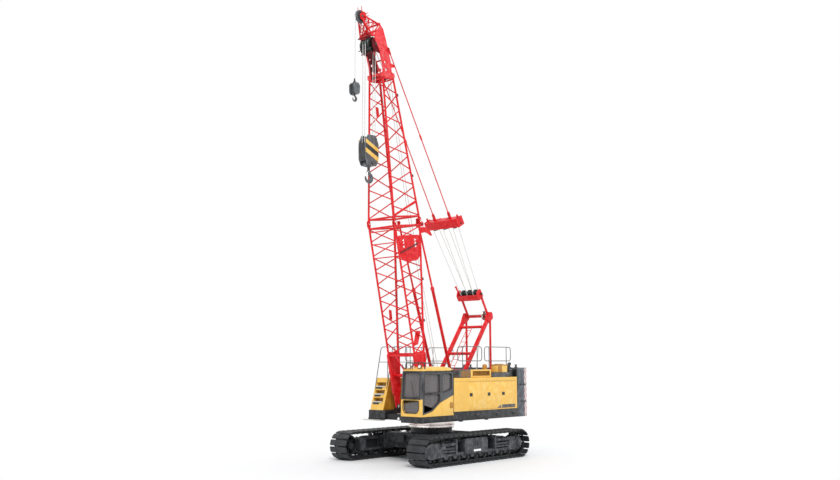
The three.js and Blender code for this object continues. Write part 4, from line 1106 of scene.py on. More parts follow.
@dataclass
class CarBody:
    """The casting between the tracks, and the slewing ring on it."""

    ring_radius: float = 0.85
    ring_low: float = 1.15
    ring_top: float = 1.42
    ring_bolts: int = 36

    def build(self, shop: Shop) -> None:
        """Builds the car body with its fittings, and the ring."""
        shape = Shape().copy_of("car_body", 0.02, 2)
        shop.piece("car_body_casting", shape, Finish.CHARCOAL, "undercarriage",
                   ["car_body"])
        trim = Shape()
        for sign in BOTH:
            for x in (-0.9, 0.9):
                trim.box((x - 0.25, sign * 1.36 - 0.03, 0.4), (x + 0.25, sign * 1.36 + 0.03, 0.98), 0.01)
                trim.bolts([
                    (x + dx, sign * 1.33, z) for dx in (-0.2, 0.2) for z in (0.5, 0.62, 0.74)
                ], (0, -sign, 0), 0.024, 0.02)
            trim.pipe([
                (0.55, sign * 0.95, 0.9), (0.62, sign * 1.15, 1.0), (0.45, sign * 1.5, 0.93),
                (0.2, sign * 1.62, 0.86),
            ], 0.022, 0.12)
            trim.box((1.12, sign * 0.5 - 0.2, 0.62), (1.2, sign * 0.5 + 0.2, 0.9), 0.015)
        trim.turned([
            (0, 0), (0.3, 0), (0.34, 0.03), (0.34, 0.09), (0, 0.09),
        ], (0, 0, 0.36), UP, 32)
        trim.bolts(circle(24, 0.9, (0, 0, 0.96), Plane.FLAT), UP, 0.024, 0.025)
        shop.piece("car_body_fittings", trim, Finish.BLACK, "undercarriage")
        rods = Shape()
        for sign in BOTH:
            for x in (0.52, -0.52):
                rods.tube((x, sign * 0.9, 0.7), (x, sign * 1.6, 0.7), 0.045, 16)
        shop.piece("extension_rods", rods, Finish.PIN, "undercarriage")
        r, low, top = self.ring_radius, self.ring_low, self.ring_top
        ring = Shape().turned([
            (0.62, low), (r - 0.02, low), (r, low + 0.012), (r, low + 0.086), (r - 0.012, low + 0.1),
            (r - 0.03, low + 0.104), (r - 0.03, low + 0.128), (r - 0.014, low + 0.134),
            (r - 0.005, low + 0.145),
            (r - 0.005, top - 0.012), (r - 0.016, top), (0.62, top),
        ], (0, 0, 0), UP, 96, True)
        shop.piece("slewing_ring", ring, Finish.RING, "undercarriage", ["slew_ring"])
        heads = Shape().bolts(circle(self.ring_bolts, 0.81, (0, 0, low), Plane.FLAT), (0, 0, -1), 0.018,
                              0.02)
        shop.piece("ring_bolts", heads, Finish.PIN, "undercarriage")


# ---------------------------------------------------------------- upperworks
@dataclass
class Cab:
    """The operator's cab: panels, door, glass, gaskets, roof guard and what stands inside."""

    rear: float = 0.75
    front: float = 2.47
    inner: float = 0.74
    outer: float = 1.7
    top: float = 3.2
    knee: float = 2.08
    lean: float = 0.08
    gasket: float = 0.008

    def front_x(self, z: float) -> float:
        """Where the cab's front face is at a height."""
        return self.front - self.lean * max(0.0, z - self.knee) / (self.top - self.knee)

    def seal(self, shape: Shape, corners: Sequence[Point], radius: float, corner: float = 0.05) -> None:
        """Runs a rubber seal round a window."""
        loop = [Vector(c) for c in corners]
        start = (loop[0] + loop[1]) / 2
        shape.pipe([start, *loop[1:], loop[0], start], radius, corner, 8, 3)

    def panels(self, shop: Shop) -> None:
        """The painted walls, the roof and the door."""
        shop.piece("cab_lower_shell", Shape().copy_of("cab_lower_panel", 0.012, 3), Finish.YELLOW,
                   "upperworks", ["cab_lower_panel"])
        shop.piece("cab_window_frame", Shape().copy_of("cab_frame", 0.012, 3), Finish.SLATE,
                   "upperworks", ["cab_frame"])
        shop.piece("cab_door_frame", Shape().copy_of("cab_door", 0.01, 3), Finish.SLATE,
                   "cab_door", ["cab_door"])
        roof = Shape().plate([
            (self.rear + 0.005, 3.202), (2.388, 3.202), (2.375, 3.24), (2.26, 3.295), (2.0, 3.335),
            (1.65, 3.358), (1.25, 3.35), (0.98, 3.32), (0.8, 3.268), (0.752, 3.222),
        ], Plane.SIDE, self.inner + 0.002, self.outer - 0.002, 0.035)
        shop.piece("cab_roof_cap", roof, Finish.YELLOW, "upperworks", ["cab_roof"],
                   smooth=50.0)

    def seals(self, shop: Shop) -> None:
        """Window seals, the drip edge and the door's rubber."""
        shape = Shape()
        y = self.outer
        self.seal(shape, [(1.38, y, 2.44), (0.86, y, 2.57), (0.86, y, 3.11), (1.38, y, 3.11)], self.gasket)
        z0, z1, y0, y1 = 2.3, 3.15, 0.8, 1.58
        self.seal(shape, [
            (self.front_x(z0), y0, z0), (self.front_x(z0), y1, z0),
            (self.front_x(z1), y1, z1), (self.front_x(z1), y0, z1),
        ], 0.012)
        x = self.front
        self.seal(shape, [
            (x, 0.83, 2.2), (x, 0.83, 1.88), (x, 0.92, 1.77), (x, 1.48, 1.77), (x, 1.57, 1.88),
            (x, 1.57, 2.2),
        ], 0.012, 0.09)
        shape.box((self.front_x(2.25) - 0.01, 0.76, 2.238), (self.front_x(2.25) + 0.016, 1.64, 2.262),
                  0.006)
        shape.pipe([
            (0.76, y + 0.008, 3.19), (2.3, y + 0.008, 3.19), (2.395, y - 0.02, 3.19), (2.4, 0.76, 3.19),
        ], 0.012, 0.08, 6)
        shape.pipe([(0.76, y, 3.2), (0.76, y, 2.4), (0.765, y, 1.7)], 0.008, 0.02, 6)
        self.seal(shape, [(1.0, 0.735, 2.3), (2.25, 0.735, 2.3), (2.25, 0.735, 3.11), (1.0, 0.735, 3.11)],
                  self.gasket)
        shop.piece("cab_window_seals", shape, Finish.RUBBER, "upperworks")
        door = Shape()
        self.seal(door, [(2.335, y, 2.455), (1.515, y, 2.455), (1.515, y, 3.095), (2.305, y, 3.095)],
                  self.gasket, 0.06)
        self.seal(door, [
            (2.345, y, 1.785), (1.935, y, 1.87), (1.515, y, 2.16), (1.515, y, 2.415), (2.335, y, 2.415),
        ], self.gasket, 0.05)
        door.turned([
            (0, 0), (0.042, 0), (0.046, 0.01), (0.04, 0.022), (0.022, 0.026), (0.018, 0.04), (0, 0.04),
        ], (2.0, y, 2.435), ACROSS, 20)
        door.pipe([
            (1.62, y, 2.2), (1.62, y + 0.05, 2.2), (1.62, y + 0.05, 2.36), (1.62, y, 2.36),
        ], 0.01, 0.02)
        shop.piece("cab_door_seals", door, Finish.RUBBER, "cab_door")

    def glass(self, shop: Shop) -> None:
        """Panes that the frame holds."""
        shop.dress("windscreen", Finish.GLASS)
        shop.dress("cab_door_glass", Finish.GLASS)
        side = Shape().plate([(1.4, 2.42), (0.84, 2.55), (0.84, 3.13), (1.4, 3.13)],
                             Plane.SIDE, 1.64, 1.648, 0.001)
        shop.piece("cab_rear_side_pane", side, Finish.GLASS, "upperworks")
        inner = Shape().plate([(0.98, 2.28), (2.27, 2.28), (2.27, 3.13), (0.98, 3.13)],
                              Plane.SIDE, 0.792, 0.8, 0.001)
        shop.piece("cab_inner_pane", inner, Finish.GLASS, "upperworks")

    def fittings(self, shop: Shop) -> None:
        """Roof guard, lamps, wiper, mirror, tie-down feet and the vent."""
        guard = Shape()
        z = 3.49
        guard.pipe([(2.27, 0.78, 3.26), (2.27, 0.8, z), (2.27, 1.66, z), (2.27, 1.68, 3.26)], 0.022, 0.06)
        guard.pipe([(2.27, 0.82, z), (1.0, 0.86, z - 0.02), (0.82, 0.88, 3.26)], 0.014, 0.08)
        guard.pipe([(2.27, 1.64, z), (1.0, 1.62, z - 0.02), (0.82, 1.6, 3.26)], 0.014, 0.08)
        for y in (0.8, 1.1, 1.38, 1.66):
            guard.tube((2.27, y, 3.26), (2.27, y, z), 0.014, 10)
        guard.pipe([(2.32, 0.8, 3.28), (2.36, 0.72, 3.36), (2.3, 0.66, 3.44)], 0.014, 0.05)
        guard.pipe([(self.front_x(2.5) + 0.03, 1.36, 2.3), (self.front_x(2.9) + 0.035, 1.2, 2.9)], 0.009,
                   0.02)
        guard.box((self.front_x(2.3) + 0.01, 1.3, 2.27), (self.front_x(2.3) + 0.05, 1.44, 2.33), 0.01)
        guard.box((0.78, self.outer - 0.1, 3.2), (0.88, self.outer + 0.02, 3.24), 0.01)
        for x in (0.62, 0.78):
            guard.box((x - 0.08, 1.56, 1.5), (x + 0.06, self.outer + 0.012, 1.64), 0.012)
        guard.box((2.3, 0.52, 1.5), (2.44, 0.74, 1.62), 0.02)
        guard.pipe([(2.42, 1.74, 2.95), (2.55, 1.83, 3.0), (2.56, 1.84, 2.8)], 0.011, 0.04)
        guard.box((2.52, 1.76, 2.52), (2.55, 1.92, 2.82), 0.014)
        shop.piece("cab_guard_and_fittings", guard, Finish.BLACK, "upperworks")
        lamps = Shape()
        for y in (1.0, 1.48):
            lamps.disc((2.33, y, 3.36), AHEAD, 0.055, 0.03, 0.01, 24)
        lamps.disc((2.445, 0.6, 1.56), AHEAD, 0.045, 0.03, 0.01, 24)
        shop.piece("cab_lamp_glass", lamps, Finish.LAMP, "upperworks")
        shells = Shape()
        for y in (1.0, 1.48):
            shells.turned([
                (0, -0.06), (0.04, -0.06), (0.062, -0.03), (0.066, 0.03), (0.05, 0.03), (0, 0.02),
            ], (2.3, y, 3.36), AHEAD, 24)
        shop.piece("cab_lamp_shells", shells, Finish.BLACK, "upperworks")
        vent = Shape()
        vent.box((0.8, self.outer - 0.004, 1.9), (0.97, self.outer + 0.006, 2.11), 0.004)
        for i in range(7):
            height = 1.918 + i * 0.027
            vent.plate([
                (self.outer + 0.004, height), (self.outer + 0.018, height),
                (self.outer + 0.004, height + 0.018),
            ], Plane.CROSS, 0.815, 0.955, 0.0)
        vent.box((1.398, self.outer - 0.004, 1.74), (1.404, self.outer + 0.0015, 2.08), 0.001)
        shop.piece("cab_vent", vent, Finish.DARK_YELLOW_AND_SHADE, "upperworks")

    def inside(self, shop: Shop) -> None:
        """The chair, the consoles, the levers and the rear cabinet."""
        seat = Shape()
        seat.box((1.2, 1.0, 1.99), (1.72, 1.46, 2.1), 0.045, 3)
        seat.plate([(1.19, 2.08), (1.31, 2.08), (1.22, 2.62), (1.12, 2.62)], Plane.SIDE, 1.01, 1.45, 0.035)
        seat.plate([(1.13, 2.63), (1.21, 2.63), (1.195, 2.79), (1.12, 2.79)], Plane.SIDE, 1.1, 1.36, 0.025)
        for y in (0.98, 1.42):
            seat.box((1.25, y, 2.2), (1.55, y + 0.07, 2.26), 0.02, 2)
        cushion = shop.piece("operator_seat", seat, Finish.CLOTH, "upperworks",
                             ["operator_chair"], smooth=60.0)
        hard = Shape()
        hard.box((1.27, 1.08, 1.702), (1.6, 1.38, 1.98), 0.03, 2)
        for y in (0.83, 1.5):
            hard.box((1.4, y, 1.705), (1.85, y + 0.12, 2.16), 0.03, 2)
            hard.pipe([(1.75, y + 0.06, 2.15), (1.78, y + 0.06, 2.3), (1.8, y + 0.06, 2.38)], 0.014, 0.03)
        hard.plate([(2.12, 1.705), (2.34, 1.705), (2.3, 2.12), (2.22, 2.16)], Plane.SIDE, 1.0, 1.42, 0.02)
        for y in (1.12, 1.32):
            hard.pipe([(2.05, y, 1.71), (2.1, y, 1.95), (2.06, y, 2.1)], 0.012, 0.03)
        hard.box((0.82, 0.82, 1.71), (1.05, 1.6, 2.5), 0.03, 2)
        shop.piece("cab_consoles", hard, Finish.PLASTIC, "upperworks")

    def build(self, shop: Shop) -> None:
        """Builds the cab."""
        self.panels(shop)
        self.seals(shop)
        self.glass(shop)
        self.fittings(shop)
        self.inside(shop)


@dataclass
class Housings:
    """The engine and winch housings with their doors, the deck and the steps."""

    outer: float = 1.7
    left_doors: tuple[float, ...] = (-0.1, -1.16, -2.05, -2.94)
    right_doors: tuple[float, ...] = (-0.42, -1.68, -2.94)
    door_low: float = 1.805
    door_high: float = 2.795

    def door_set(self, shop: Shop, side: str, seams: Sequence[float], names: Sequence[str]) -> None:
        """Doors with their latches."""
        sign = 1 if side == "left" else -1
        y = sign * self.outer
        for name, front in zip(names, seams):
            node = f"{side}_hood_door_{name}"
            body = f"{side}_door_{name}"
            shop.piece(f"{side}_panel_{name}", Shape().copy_of(node, 0.014, 3), Finish.YELLOW, body,
                       [node])
            trim = Shape()
            at = front - 0.14
            trim.box((at - 0.08, y - sign * 0.004, 2.28), (at + 0.08, y + sign * 0.012, 2.4), 0.008)
            trim.pipe([
                (at - 0.03, y, 2.34), (at - 0.03, y + sign * 0.03, 2.34),
                (at + 0.03, y + sign * 0.03, 2.34),
                (at + 0.03, y, 2.34),
            ], 0.009, 0.012)
            shop.piece(f"{side}_latch_{name}", trim, Finish.BLACK, body)

    def shells(self, shop: Shop) -> None:
        """The fixed shells with their seams, grooves and dark bands, the seals behind the doors, and strips
        and lines of painted shade in the seams and grooves.
        """
        for side, seams, front in (("left", self.left_doors, 0.73), ("right", self.right_doors, 0.0)):
            shop.piece(f"{side}_housing", Shape().copy_of(f"{side}_hood", 0.028, 4), Finish.YELLOW,
                       "upperworks", [f"{side}_hood"], smooth=40.0)
            sign = 1 if side == "left" else -1
            y = sign * self.outer
            # Dark yellow strips behind the door seams: painted shade in the gaps.
            lines = Shape()
            deep, shallow = y - sign * 0.052, y - sign * 0.02
            for x in seams:
                lines.box((x - 0.012, deep, self.door_low), (x + 0.012, shallow, self.door_high), 0.0)
            for z in (self.door_low - 0.002, self.door_high + 0.002):
                lines.box((seams[-1], deep, z - 0.01), (seams[0], shallow, z + 0.01), 0.0)
            shop.piece(f"{side}_door_seals", lines, Finish.DARK_YELLOW_AND_SHADE, "upperworks")
            # Thin dark yellow lines on the seams and along the horizontal groove: painted shade.
            grooves = Shape()
            under, over = y - sign * 0.004, y + sign * 0.0015
            for x in (seams[0], seams[1], seams[-1]):
                grooves.box((x - 0.004, under, 2.805), (x + 0.004, over, 2.92), 0.0)
            grooves.box((-3.05, under, 2.822), (front - 0.02, over, 2.83), 0.0)
            shop.piece(f"{side}_housing_groove_shade", grooves, Finish.DARK_YELLOW_AND_SHADE, "upperworks")
        shop.piece("left_door_rear_band", Shape().plate([
            (-2.08, 1.812), (-2.1, 1.93), (-2.93, 1.93), (-2.93, 1.812),
        ], Plane.SIDE, self.outer - 0.001, self.outer + 0.003, 0.0), Finish.SLATE, "left_door_rear")
        wedge = Shape().plate([(-1.8, 1.812), (-2.03, 1.93), (-2.04, 1.812)],
                              Plane.SIDE, self.outer - 0.001, self.outer + 0.003, 0.0)
        shop.piece("left_door_middle_band", wedge, Finish.SLATE, "left_door_middle")

    def deck(self, shop: Shop) -> None:
        """The deck with its tie-downs, ring cover, treads and hoses."""
        shop.piece("deck_weldment", Shape().copy_of("deck_frame", 0.008, 2), Finish.SKIRT, "upperworks",
                   ["deck_frame"])
        trim = Shape()
        for sign in BOTH:
            for x in (-0.6, -1.85, -2.9):
                y = sign * self.outer
                trim.box((x - 0.12, y - sign * 0.03, 1.53), (x + 0.12, y + sign * 0.018, 1.64), 0.01)
                for dx in (-0.06, 0.06):
                    trim.disc((x + dx, y + sign * 0.02, 1.585), ACROSS, 0.03, 0.02, 0.005, 12)
        for x in (-1.3, 0.2):
            trim.box((x - 0.06, 1.5, 1.395), (x + 0.06, 1.62, 1.44), 0.01)
        for x in (-2.6, -2.1, -1.6):
            trim.box((x - 0.15, -0.7, 1.375), (x + 0.15, 0.7, 1.437), 0.01)
        shop.piece("deck_tie_downs", trim, Finish.BLACK, "upperworks")
        under = Shape()
        under.turned([
            (0.7, 0), (0.93, 0), (0.94, 0.012), (0.94, 0.028), (0.93, 0.04), (0.7, 0.04),
        ], (0, 0, 1.43), UP, 64, True)
        shop.piece("ring_cover", under, Finish.BLACK, "upperworks")
        planks = Shape()
        for i in range(7):
            x = -2.9 + i * 0.38
            planks.box((x, -0.86, 1.642), (x + 0.36, -0.66, 1.66), 0.004)
            planks.box((x, 0.66, 1.642), (x + 0.36, 0.86, 1.66), 0.004)
        planks.box((0.8, -0.5, 1.642), (1.35, 0.5, 1.66), 0.004)
        shop.piece("deck_tread_plates", planks, Finish.TREAD, "upperworks")
        hoses = Shape()
        for i, y in enumerate((-0.12, -0.04, 0.04, 0.12)):
            hoses.pipe([
                (0.55, y, 1.66), (0.35, y * 1.6, 1.86), (0.1 - 0.04 * i, y * 2.2, 1.75),
                (-0.35, y * 4, 1.68),
            ], 0.022, 0.12)
        for y in (-0.78, 0.78):
            hoses.pipe([(0.5, y, 1.69), (-0.3, y, 1.72), (-1.2, y * 0.98, 1.72), (-2.8, y, 1.7)], 0.025,
                       0.1)
        hoses.box((0.35, -0.45, 1.645), (0.75, 0.45, 1.7), 0.02)
        shop.piece("deck_hoses", hoses, Finish.RUBBER, "upperworks")
        shop.dress("engine", Finish.ENGINE)

    def steps(self, shop: Shop) -> None:
        """The box with the steps, its treads and base, with painted shade in the step pockets and on the
        inner flank and a painted shadow under each tread.
        """
        shop.piece("stair_housing", Shape().copy_of("stair_box", 0.02, 3), Finish.YELLOW, "upperworks",
                   ["stair_box"])
        treads, dark, painted_shade_yellow = Shape(), Shape(), Shape()
        for z in (2.04, 2.32, 2.6):
            face = 1.6 - (z - 1.765) * (0.35 / 1.165)
            treads.box((face - 0.22, -1.578, z + 0.002), (face + 0.03, -1.092, z + 0.035), 0.008)
            for i in range(5):
                x = face - 0.19 + i * 0.05
                treads.box((x, -1.56, z + 0.033), (x + 0.014, -1.11, z + 0.041), 0.0)
            # The pocket's back wall and ceiling in dark yellow: painted shade.
            painted_shade_yellow.box((face - 0.236, -1.576, z + 0.04), (face - 0.226, -1.094, z + 0.166), 0.0)
            painted_shade_yellow.box((face - 0.226, -1.576, z + 0.158), (face - 0.05, -1.094, z + 0.168), 0.0)
            # A black strip under the tread's lip: painted shadow.
            dark.plate([(face - 0.01, z - 0.001), (face + 0.006, z - 0.001), (face + 0.026, z - 0.068),
                        (face + 0.01, z - 0.068)], Plane.SIDE, -1.56, -1.24, 0.0)
        treads.box((1.5, -1.86, 1.4), (1.76, -0.95, 1.43), 0.008)
        treads.box((0.02, -1.62, 2.932), (1.24, -0.99, 2.94), 0.0)
        shop.piece("stair_treads", treads, Finish.TREAD, "upperworks")
        shop.piece("stair_tread_shadows", dark, Finish.BLACK, "upperworks")
        # The inner flank in dark yellow: painted shade.
        painted_shade_yellow.plate([(0.02, 1.78), (1.58, 1.78), (1.24, 2.91), (0.02, 2.91)], Plane.SIDE, -0.971, -0.966,
                   0.0)
        shop.piece("stair_flank_shade", painted_shade_yellow, Finish.DARK_YELLOW_AND_SHADE, "upperworks")
        dark = Shape().box((1.2, -1.69, 1.46), (1.612, -0.88, 1.758), 0.012)
        for y in (-1.7, -1.1):
            dark.box((1.56, y - 0.03, 1.41), (1.6, y + 0.03, 1.5), 0.008)
        shop.piece("stair_base", dark, Finish.SKIRT, "upperworks")

    def build(self, shop: Shop) -> None:
        """Builds the housings, deck and steps."""
        self.shells(shop)
        self.door_set(shop, "left", self.left_doors, ("front", "middle", "rear"))
        self.door_set(shop, "right", self.right_doors, ("front", "rear"))
        self.deck(shop)
        self.steps(shop)


@dataclass
class Counterweight:
    """The three slabs, with striped corners and lifting eyes."""

    front: float = -3.12
    corner: float = -3.55
    rear: float = -3.96
    half: float = 1.7
    rear_half: float = 1.52
    seams: tuple[float, ...] = (1.43, 2.01, 2.65, 3.3)

    def build(self, shop: Shop) -> None:
        """Builds the slabs and their fittings, with black plates of painted shade in the gap to the
        housing.
        """
        run = Vector((self.rear - self.corner, self.rear_half - self.half, 0))
        out = Vector((run.y, -run.x, 0)).normalized()
        for name, low, high in zip(("lower", "middle", "upper"), self.seams, self.seams[1:]):
            node = f"counterweight_{name}"
            shop.piece(f"{name}_weight", Shape().copy_of(node, 0.022, 3), Finish.WEIGHT, "upperworks",
                       [node])
            stripe = Shape()
            start = Vector((self.corner, self.half, 0)) + run * 0.06
            end = Vector((self.corner, self.half, 0)) + run * 0.94
            a, b = start + out * 0.001, end + out * 0.001
            stripe.plate([
                (a.x, a.y), (b.x, b.y), (b.x + out.x * 0.005, b.y + out.y * 0.005),
                (a.x + out.x * 0.005, a.y + out.y * 0.005),
            ], Plane.FLAT, low + 0.035, high - 0.035, 0.0)
            shop.piece(f"{name}_weight_stripes", stripe.both_sides(), Finish.STRIPES, "upperworks")
        trim = Shape()
        for z in self.seams[1:3]:
            for sign in BOTH:
                trim.box((self.front - 0.45, sign * 1.705 - 0.02, z - 0.03),
                         (self.front - 0.2, sign * 1.705 + 0.02, z + 0.03), 0.01)
                trim.box((self.rear - 0.1, sign * 0.9 - 0.15, z - 0.035),
                         (self.rear - 0.07, sign * 0.9 + 0.15, z + 0.035), 0.008)
        for sign in BOTH:
            for x in (-3.35, -3.78):
                trim.turned([
                    (0, 0), (0.07, 0), (0.07, 0.02), (0.035, 0.03), (0.03, 0.08), (0.055, 0.095),
                    (0.055, 0.12), (0, 0.12),
                ], (x, sign * 1.15, 3.299), UP, 20)
        # Black plates on the front face: painted shade in the gap to the housing.
        trim.box((self.front - 0.02, -1.66, 1.5), (self.front + 0.015, -1.0, 3.25), 0.01)
        trim.box((self.front - 0.02, 1.0, 1.5), (self.front + 0.015, 1.66, 3.25), 0.01)
        trim.box((-3.85, -1.0, 1.385), (-3.2, 1.0, 1.432), 0.01)
        shop.piece("weight_fittings_and_gap_shade", trim, Finish.BLACK, "upperworks")


@dataclass
class RoofItems:
    """The boxes, exhaust and handrails on the housings."""

    floor: float = 2.95
    rail_low: float = 3.56
    rail_top: float = 4.09
    radius: float = 0.014

    def louvres(self, shape: Shape, low: Point, high: Point, count: int) -> None:
        """Slanted slats across an opening in a face that looks to +Y."""
        step = (high[2] - low[2]) / count
        for i in range(count):
            z = low[2] + i * step
            shape.plate([
                (low[1], z), (high[1], z + step * 0.15), (high[1], z + step * 0.3),
                (low[1], z + step * 0.75),
            ], Plane.CROSS, low[0], high[0], 0.0)

    def boxes(self, shop: Shop) -> None:
        """Intake, mesh and filter boxes, the round cover and the exhaust."""
        z = self.floor
        intake = Shape().box((-1.53, 1.29, z + 0.001), (-0.33, 1.64, 3.24), 0.02, 3)
        for near, far in ((1.6, 1.7), (1.2, 1.33)):
            intake.cut(Shape().box((-1.44, near, 3.02), (-0.42, far, 3.19), 0.0))
        shop.piece("intake_housing", intake, Finish.YELLOW, "upperworks", ["intake_box"])
        slats = Shape()
        self.louvres(slats, (-1.44, 1.6, 3.02), (-0.42, 1.636, 3.19), 6)
        slats.box((-1.44, 1.596, 3.02), (-0.42, 1.601, 3.19), 0.0)
        slats.box((-0.94, 1.6, 3.02), (-0.925, 1.637, 3.19), 0.0)
        slats.box((-1.44, 1.325, 3.02), (-0.42, 1.33, 3.19), 0.0)
        self.louvres(slats, (-0.27, 1.636, 2.99), (0.28, 1.648, 3.21), 9)
        shop.piece("amber_louvres", slats, Finish.MESH, "upperworks")
        mesh_box = Shape().box((-0.3, 1.29, z + 0.001), (0.38, 1.64, 3.24), 0.015, 2)
        mesh_box.box((0.28, 1.636, 2.97), (0.37, 1.652, 3.23), 0.005)
        for i in range(6):
            mesh_box.box((-0.25 + i * 0.1, 1.34, 3.238), (-0.2 + i * 0.1, 1.59, 3.246), 0.003)
        shop.piece("mesh_housing", mesh_box, Finish.SLATE, "upperworks", ["mesh_box"])
        filters = Shape().box((-2.65, 1.28, 3.12), (-1.99, 1.57, 3.4), 0.025, 3)
        shop.piece("filter_housing", filters, Finish.YELLOW, "upperworks", ["filter_box"])
        lid = Shape().box((-2.67, 1.26, 3.4), (-1.97, 1.59, 3.425), 0.01)
        lid.box((-2.27, 1.57, 3.14), (-2.02, 1.6, 3.37), 0.01)
        lid.box((-2.5, 1.34, 3.425), (-2.12, 1.5, 3.445), 0.008)
        shop.piece("filter_lid", lid, Finish.DARK_YELLOW_AND_SHADE, "upperworks")
        base = Shape().box((-2.75, 1.27, z + 0.02), (-1.66, 1.6, 3.12), 0.01)
        base.box((-2.7, 1.2, z + 0.001), (-1.7, 1.62, z + 0.03), 0.006)
        shop.piece("filter_base", base, Finish.SLATE, "upperworks")
        cover = Shape().turned([
            (0, 0), (0.088, 0), (0.09, 0.02), (0.09, 0.14), (0.08, 0.18), (0.05, 0.2), (0, 0.205),
        ], (-1.42, 1.42, 3.235), UP, 28)
        shop.piece("round_cover", cover, Finish.DARK_YELLOW_AND_SHADE, "upperworks", smooth=50.0)
        pipe = Shape().box((-3.04, 1.24, z + 0.001), (-2.76, 1.56, z + 0.3), 0.03, 2)
        pipe.pipe([(-2.9, 1.4, z + 0.25), (-2.9, 1.4, 3.36), (-2.97, 1.4, 3.44), (-3.04, 1.4, 3.46)], 0.055,
                  0.08, 14, 6)
        for x, y in ((-1.66, 1.1), (0.1, 1.0)):
            pipe.turned([
                (0, 0), (0.06, 0), (0.06, 0.05), (0.03, 0.06), (0.03, 0.1), (0, 0.1),
            ], (x, y, z), UP, 16)
        shop.piece("exhaust", pipe, Finish.BLACK, "upperworks", smooth=50.0)

    def hoop(self, shape: Shape, x0: float, x1: float, y: float, foot: float, splay: float) -> None:
        """A rounded rectangular hoop on two posts with splayed feet."""
        r, low, high = self.radius, self.rail_low, self.rail_top
        shape.pipe([
            ((x0 + x1) / 2, y, high), (x1, y, high), (x1, y, low), (x0, y, low), (x0, y, high),
            ((x0 + x1) / 2, y, high),
        ], r, 0.13, 8, 4)
        for x in (x0 + 0.28, x1 - 0.28):
            shape.tube((x, y, foot + 0.2), (x, y, high), r * 0.95, 8)
            shape.pipe([(x, y, low), (x, y, foot + 0.32), (x, y + splay, foot + 0.02)], r, 0.05)
            shape.tube((x, y, foot + 0.26), (x, y - splay * 0.6, foot + 0.02), r * 0.9, 8)
            for base in (y + splay, y - splay * 0.6):
                shape.box((x - 0.06, base - 0.04, foot + 0.001), (x + 0.06, base + 0.04, foot + 0.02),
                          0.004)

    def rails(self, shop: Shop) -> None:
        """The three handrails."""
        left = Shape()
        for x0, x1 in ((-3.33, -1.67), (-1.5, -0.07)):
            self.hoop(left, x0, x1, 1.22, self.floor, -0.1)
        shop.piece("left_hand_rail", left, Finish.RAIL, "upperworks", ["left_handrail"],
                   smooth=50.0)
        right = Shape()
        for x0, x1 in ((-3.05, -1.52), (-1.4, -0.16)):
            self.hoop(right, x0, x1, -1.48, self.floor, 0.1)
        shop.piece("right_hand_rail", right, Finish.RAIL, "upperworks", ["right_handrail"],
                   50.0)
        stair = Shape()
        r = self.radius
        for y in (-1.6, -1.0):
            stair.pipe([
                (0.28, y, 2.94), (0.28, y, 4.09), (1.05, y, 4.09), (1.36, y, 2.6), (1.4, y, 2.1),
                (1.52, y, 2.02),
            ], r, 0.12)
            stair.pipe([(0.28, y, 3.52), (1.14, y, 3.52)], r * 0.8, 0.05)
            stair.tube((0.7, y, 2.93), (0.7, y, 4.09), r * 0.9, 8)
            stair.pipe([(1.34, y, 2.72), (1.22, y, 2.66), (1.1, y, 2.7)], r * 0.8, 0.03)
        shop.piece("stair_hand_rail", stair, Finish.RAIL, "upperworks", ["stair_handrail"],
                   50.0)

    def build(self, shop: Shop) -> None:
        """Builds everything on the roofs."""
        self.boxes(shop)
        self.rails(shop)


# ---------------------------------------------------------------- boom and rigging
FOOT = Vector((1.144, 0, 1.897))
BOOM_ANGLE = math.radians(82.3)
GANTRY_PIN = (-2.83, 5.38)
GANTRY_TOP = Vector((GANTRY_PIN[0], 0, GANTRY_PIN[1]))
# Pins of the boom head: how far along the boom, and how far in front of its centre line.
HEAD_PIN, TIP_PIN, PENDANT_PIN = (13.225, 0.48), (14.24, 0.815), (13.086, -0.11)
TIP_RADIUS = 0.24
ROPE = 0.014


def boom_spot(along: float, front: float) -> Vector:
    """A place on the boom's middle plane, from the distance along it and in front of its centre line."""
    c, s = math.cos(BOOM_ANGLE), math.sin(BOOM_ANGLE)
    return FOOT + Vector((along * c + front * s, 0, along * s - front * c))


def framed(point: Point) -> Vector:
    """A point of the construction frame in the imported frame."""
    return Vector(point) + Vector((SLEW_AXIS.x, SLEW_AXIS.y, 0))


def sheave(shape: Shape, centre: Point, radius: float, width: float, sides: int = 32) -> None:
    """Adds a rope sheave about Y, with a groove, a web and a hub."""
    h, r = width / 2, radius
    shape.turned(there_and_back([
        (0, -h * 1.15), (0.24 * r, -h * 1.15), (0.27 * r, -h * 0.6), (0.7 * r, -h * 0.42),
        (0.78 * r, -h * 0.95),
        (0.99 * r, -h), (r, -h * 0.85), (0.9 * r, -h * 0.2),
    ]), centre, ACROSS, sides)


def rope(shape: Shape, start: Point, end: Point, radius: float = ROPE, count: int = 12) -> None:
    """Adds a straight rope that has rings along it, so that it can be stretched."""
    start, end = Vector(start), Vector(end)
    heading = (end - start).normalized()
    shape.sweep([(start.lerp(end, i / count), heading, radius) for i in range(count + 1)], 8)


def gusset(shape: Shape, y: float, corners: Sequence[Sequence[float]], thick: float = 0.024,
           rounding: float = 0.03) -> None:
    """Adds an upright plate centred on y, with round corners."""
    shape.plate(corners, Plane.SIDE, y - thick / 2, y + thick / 2, 0.004, rounding)


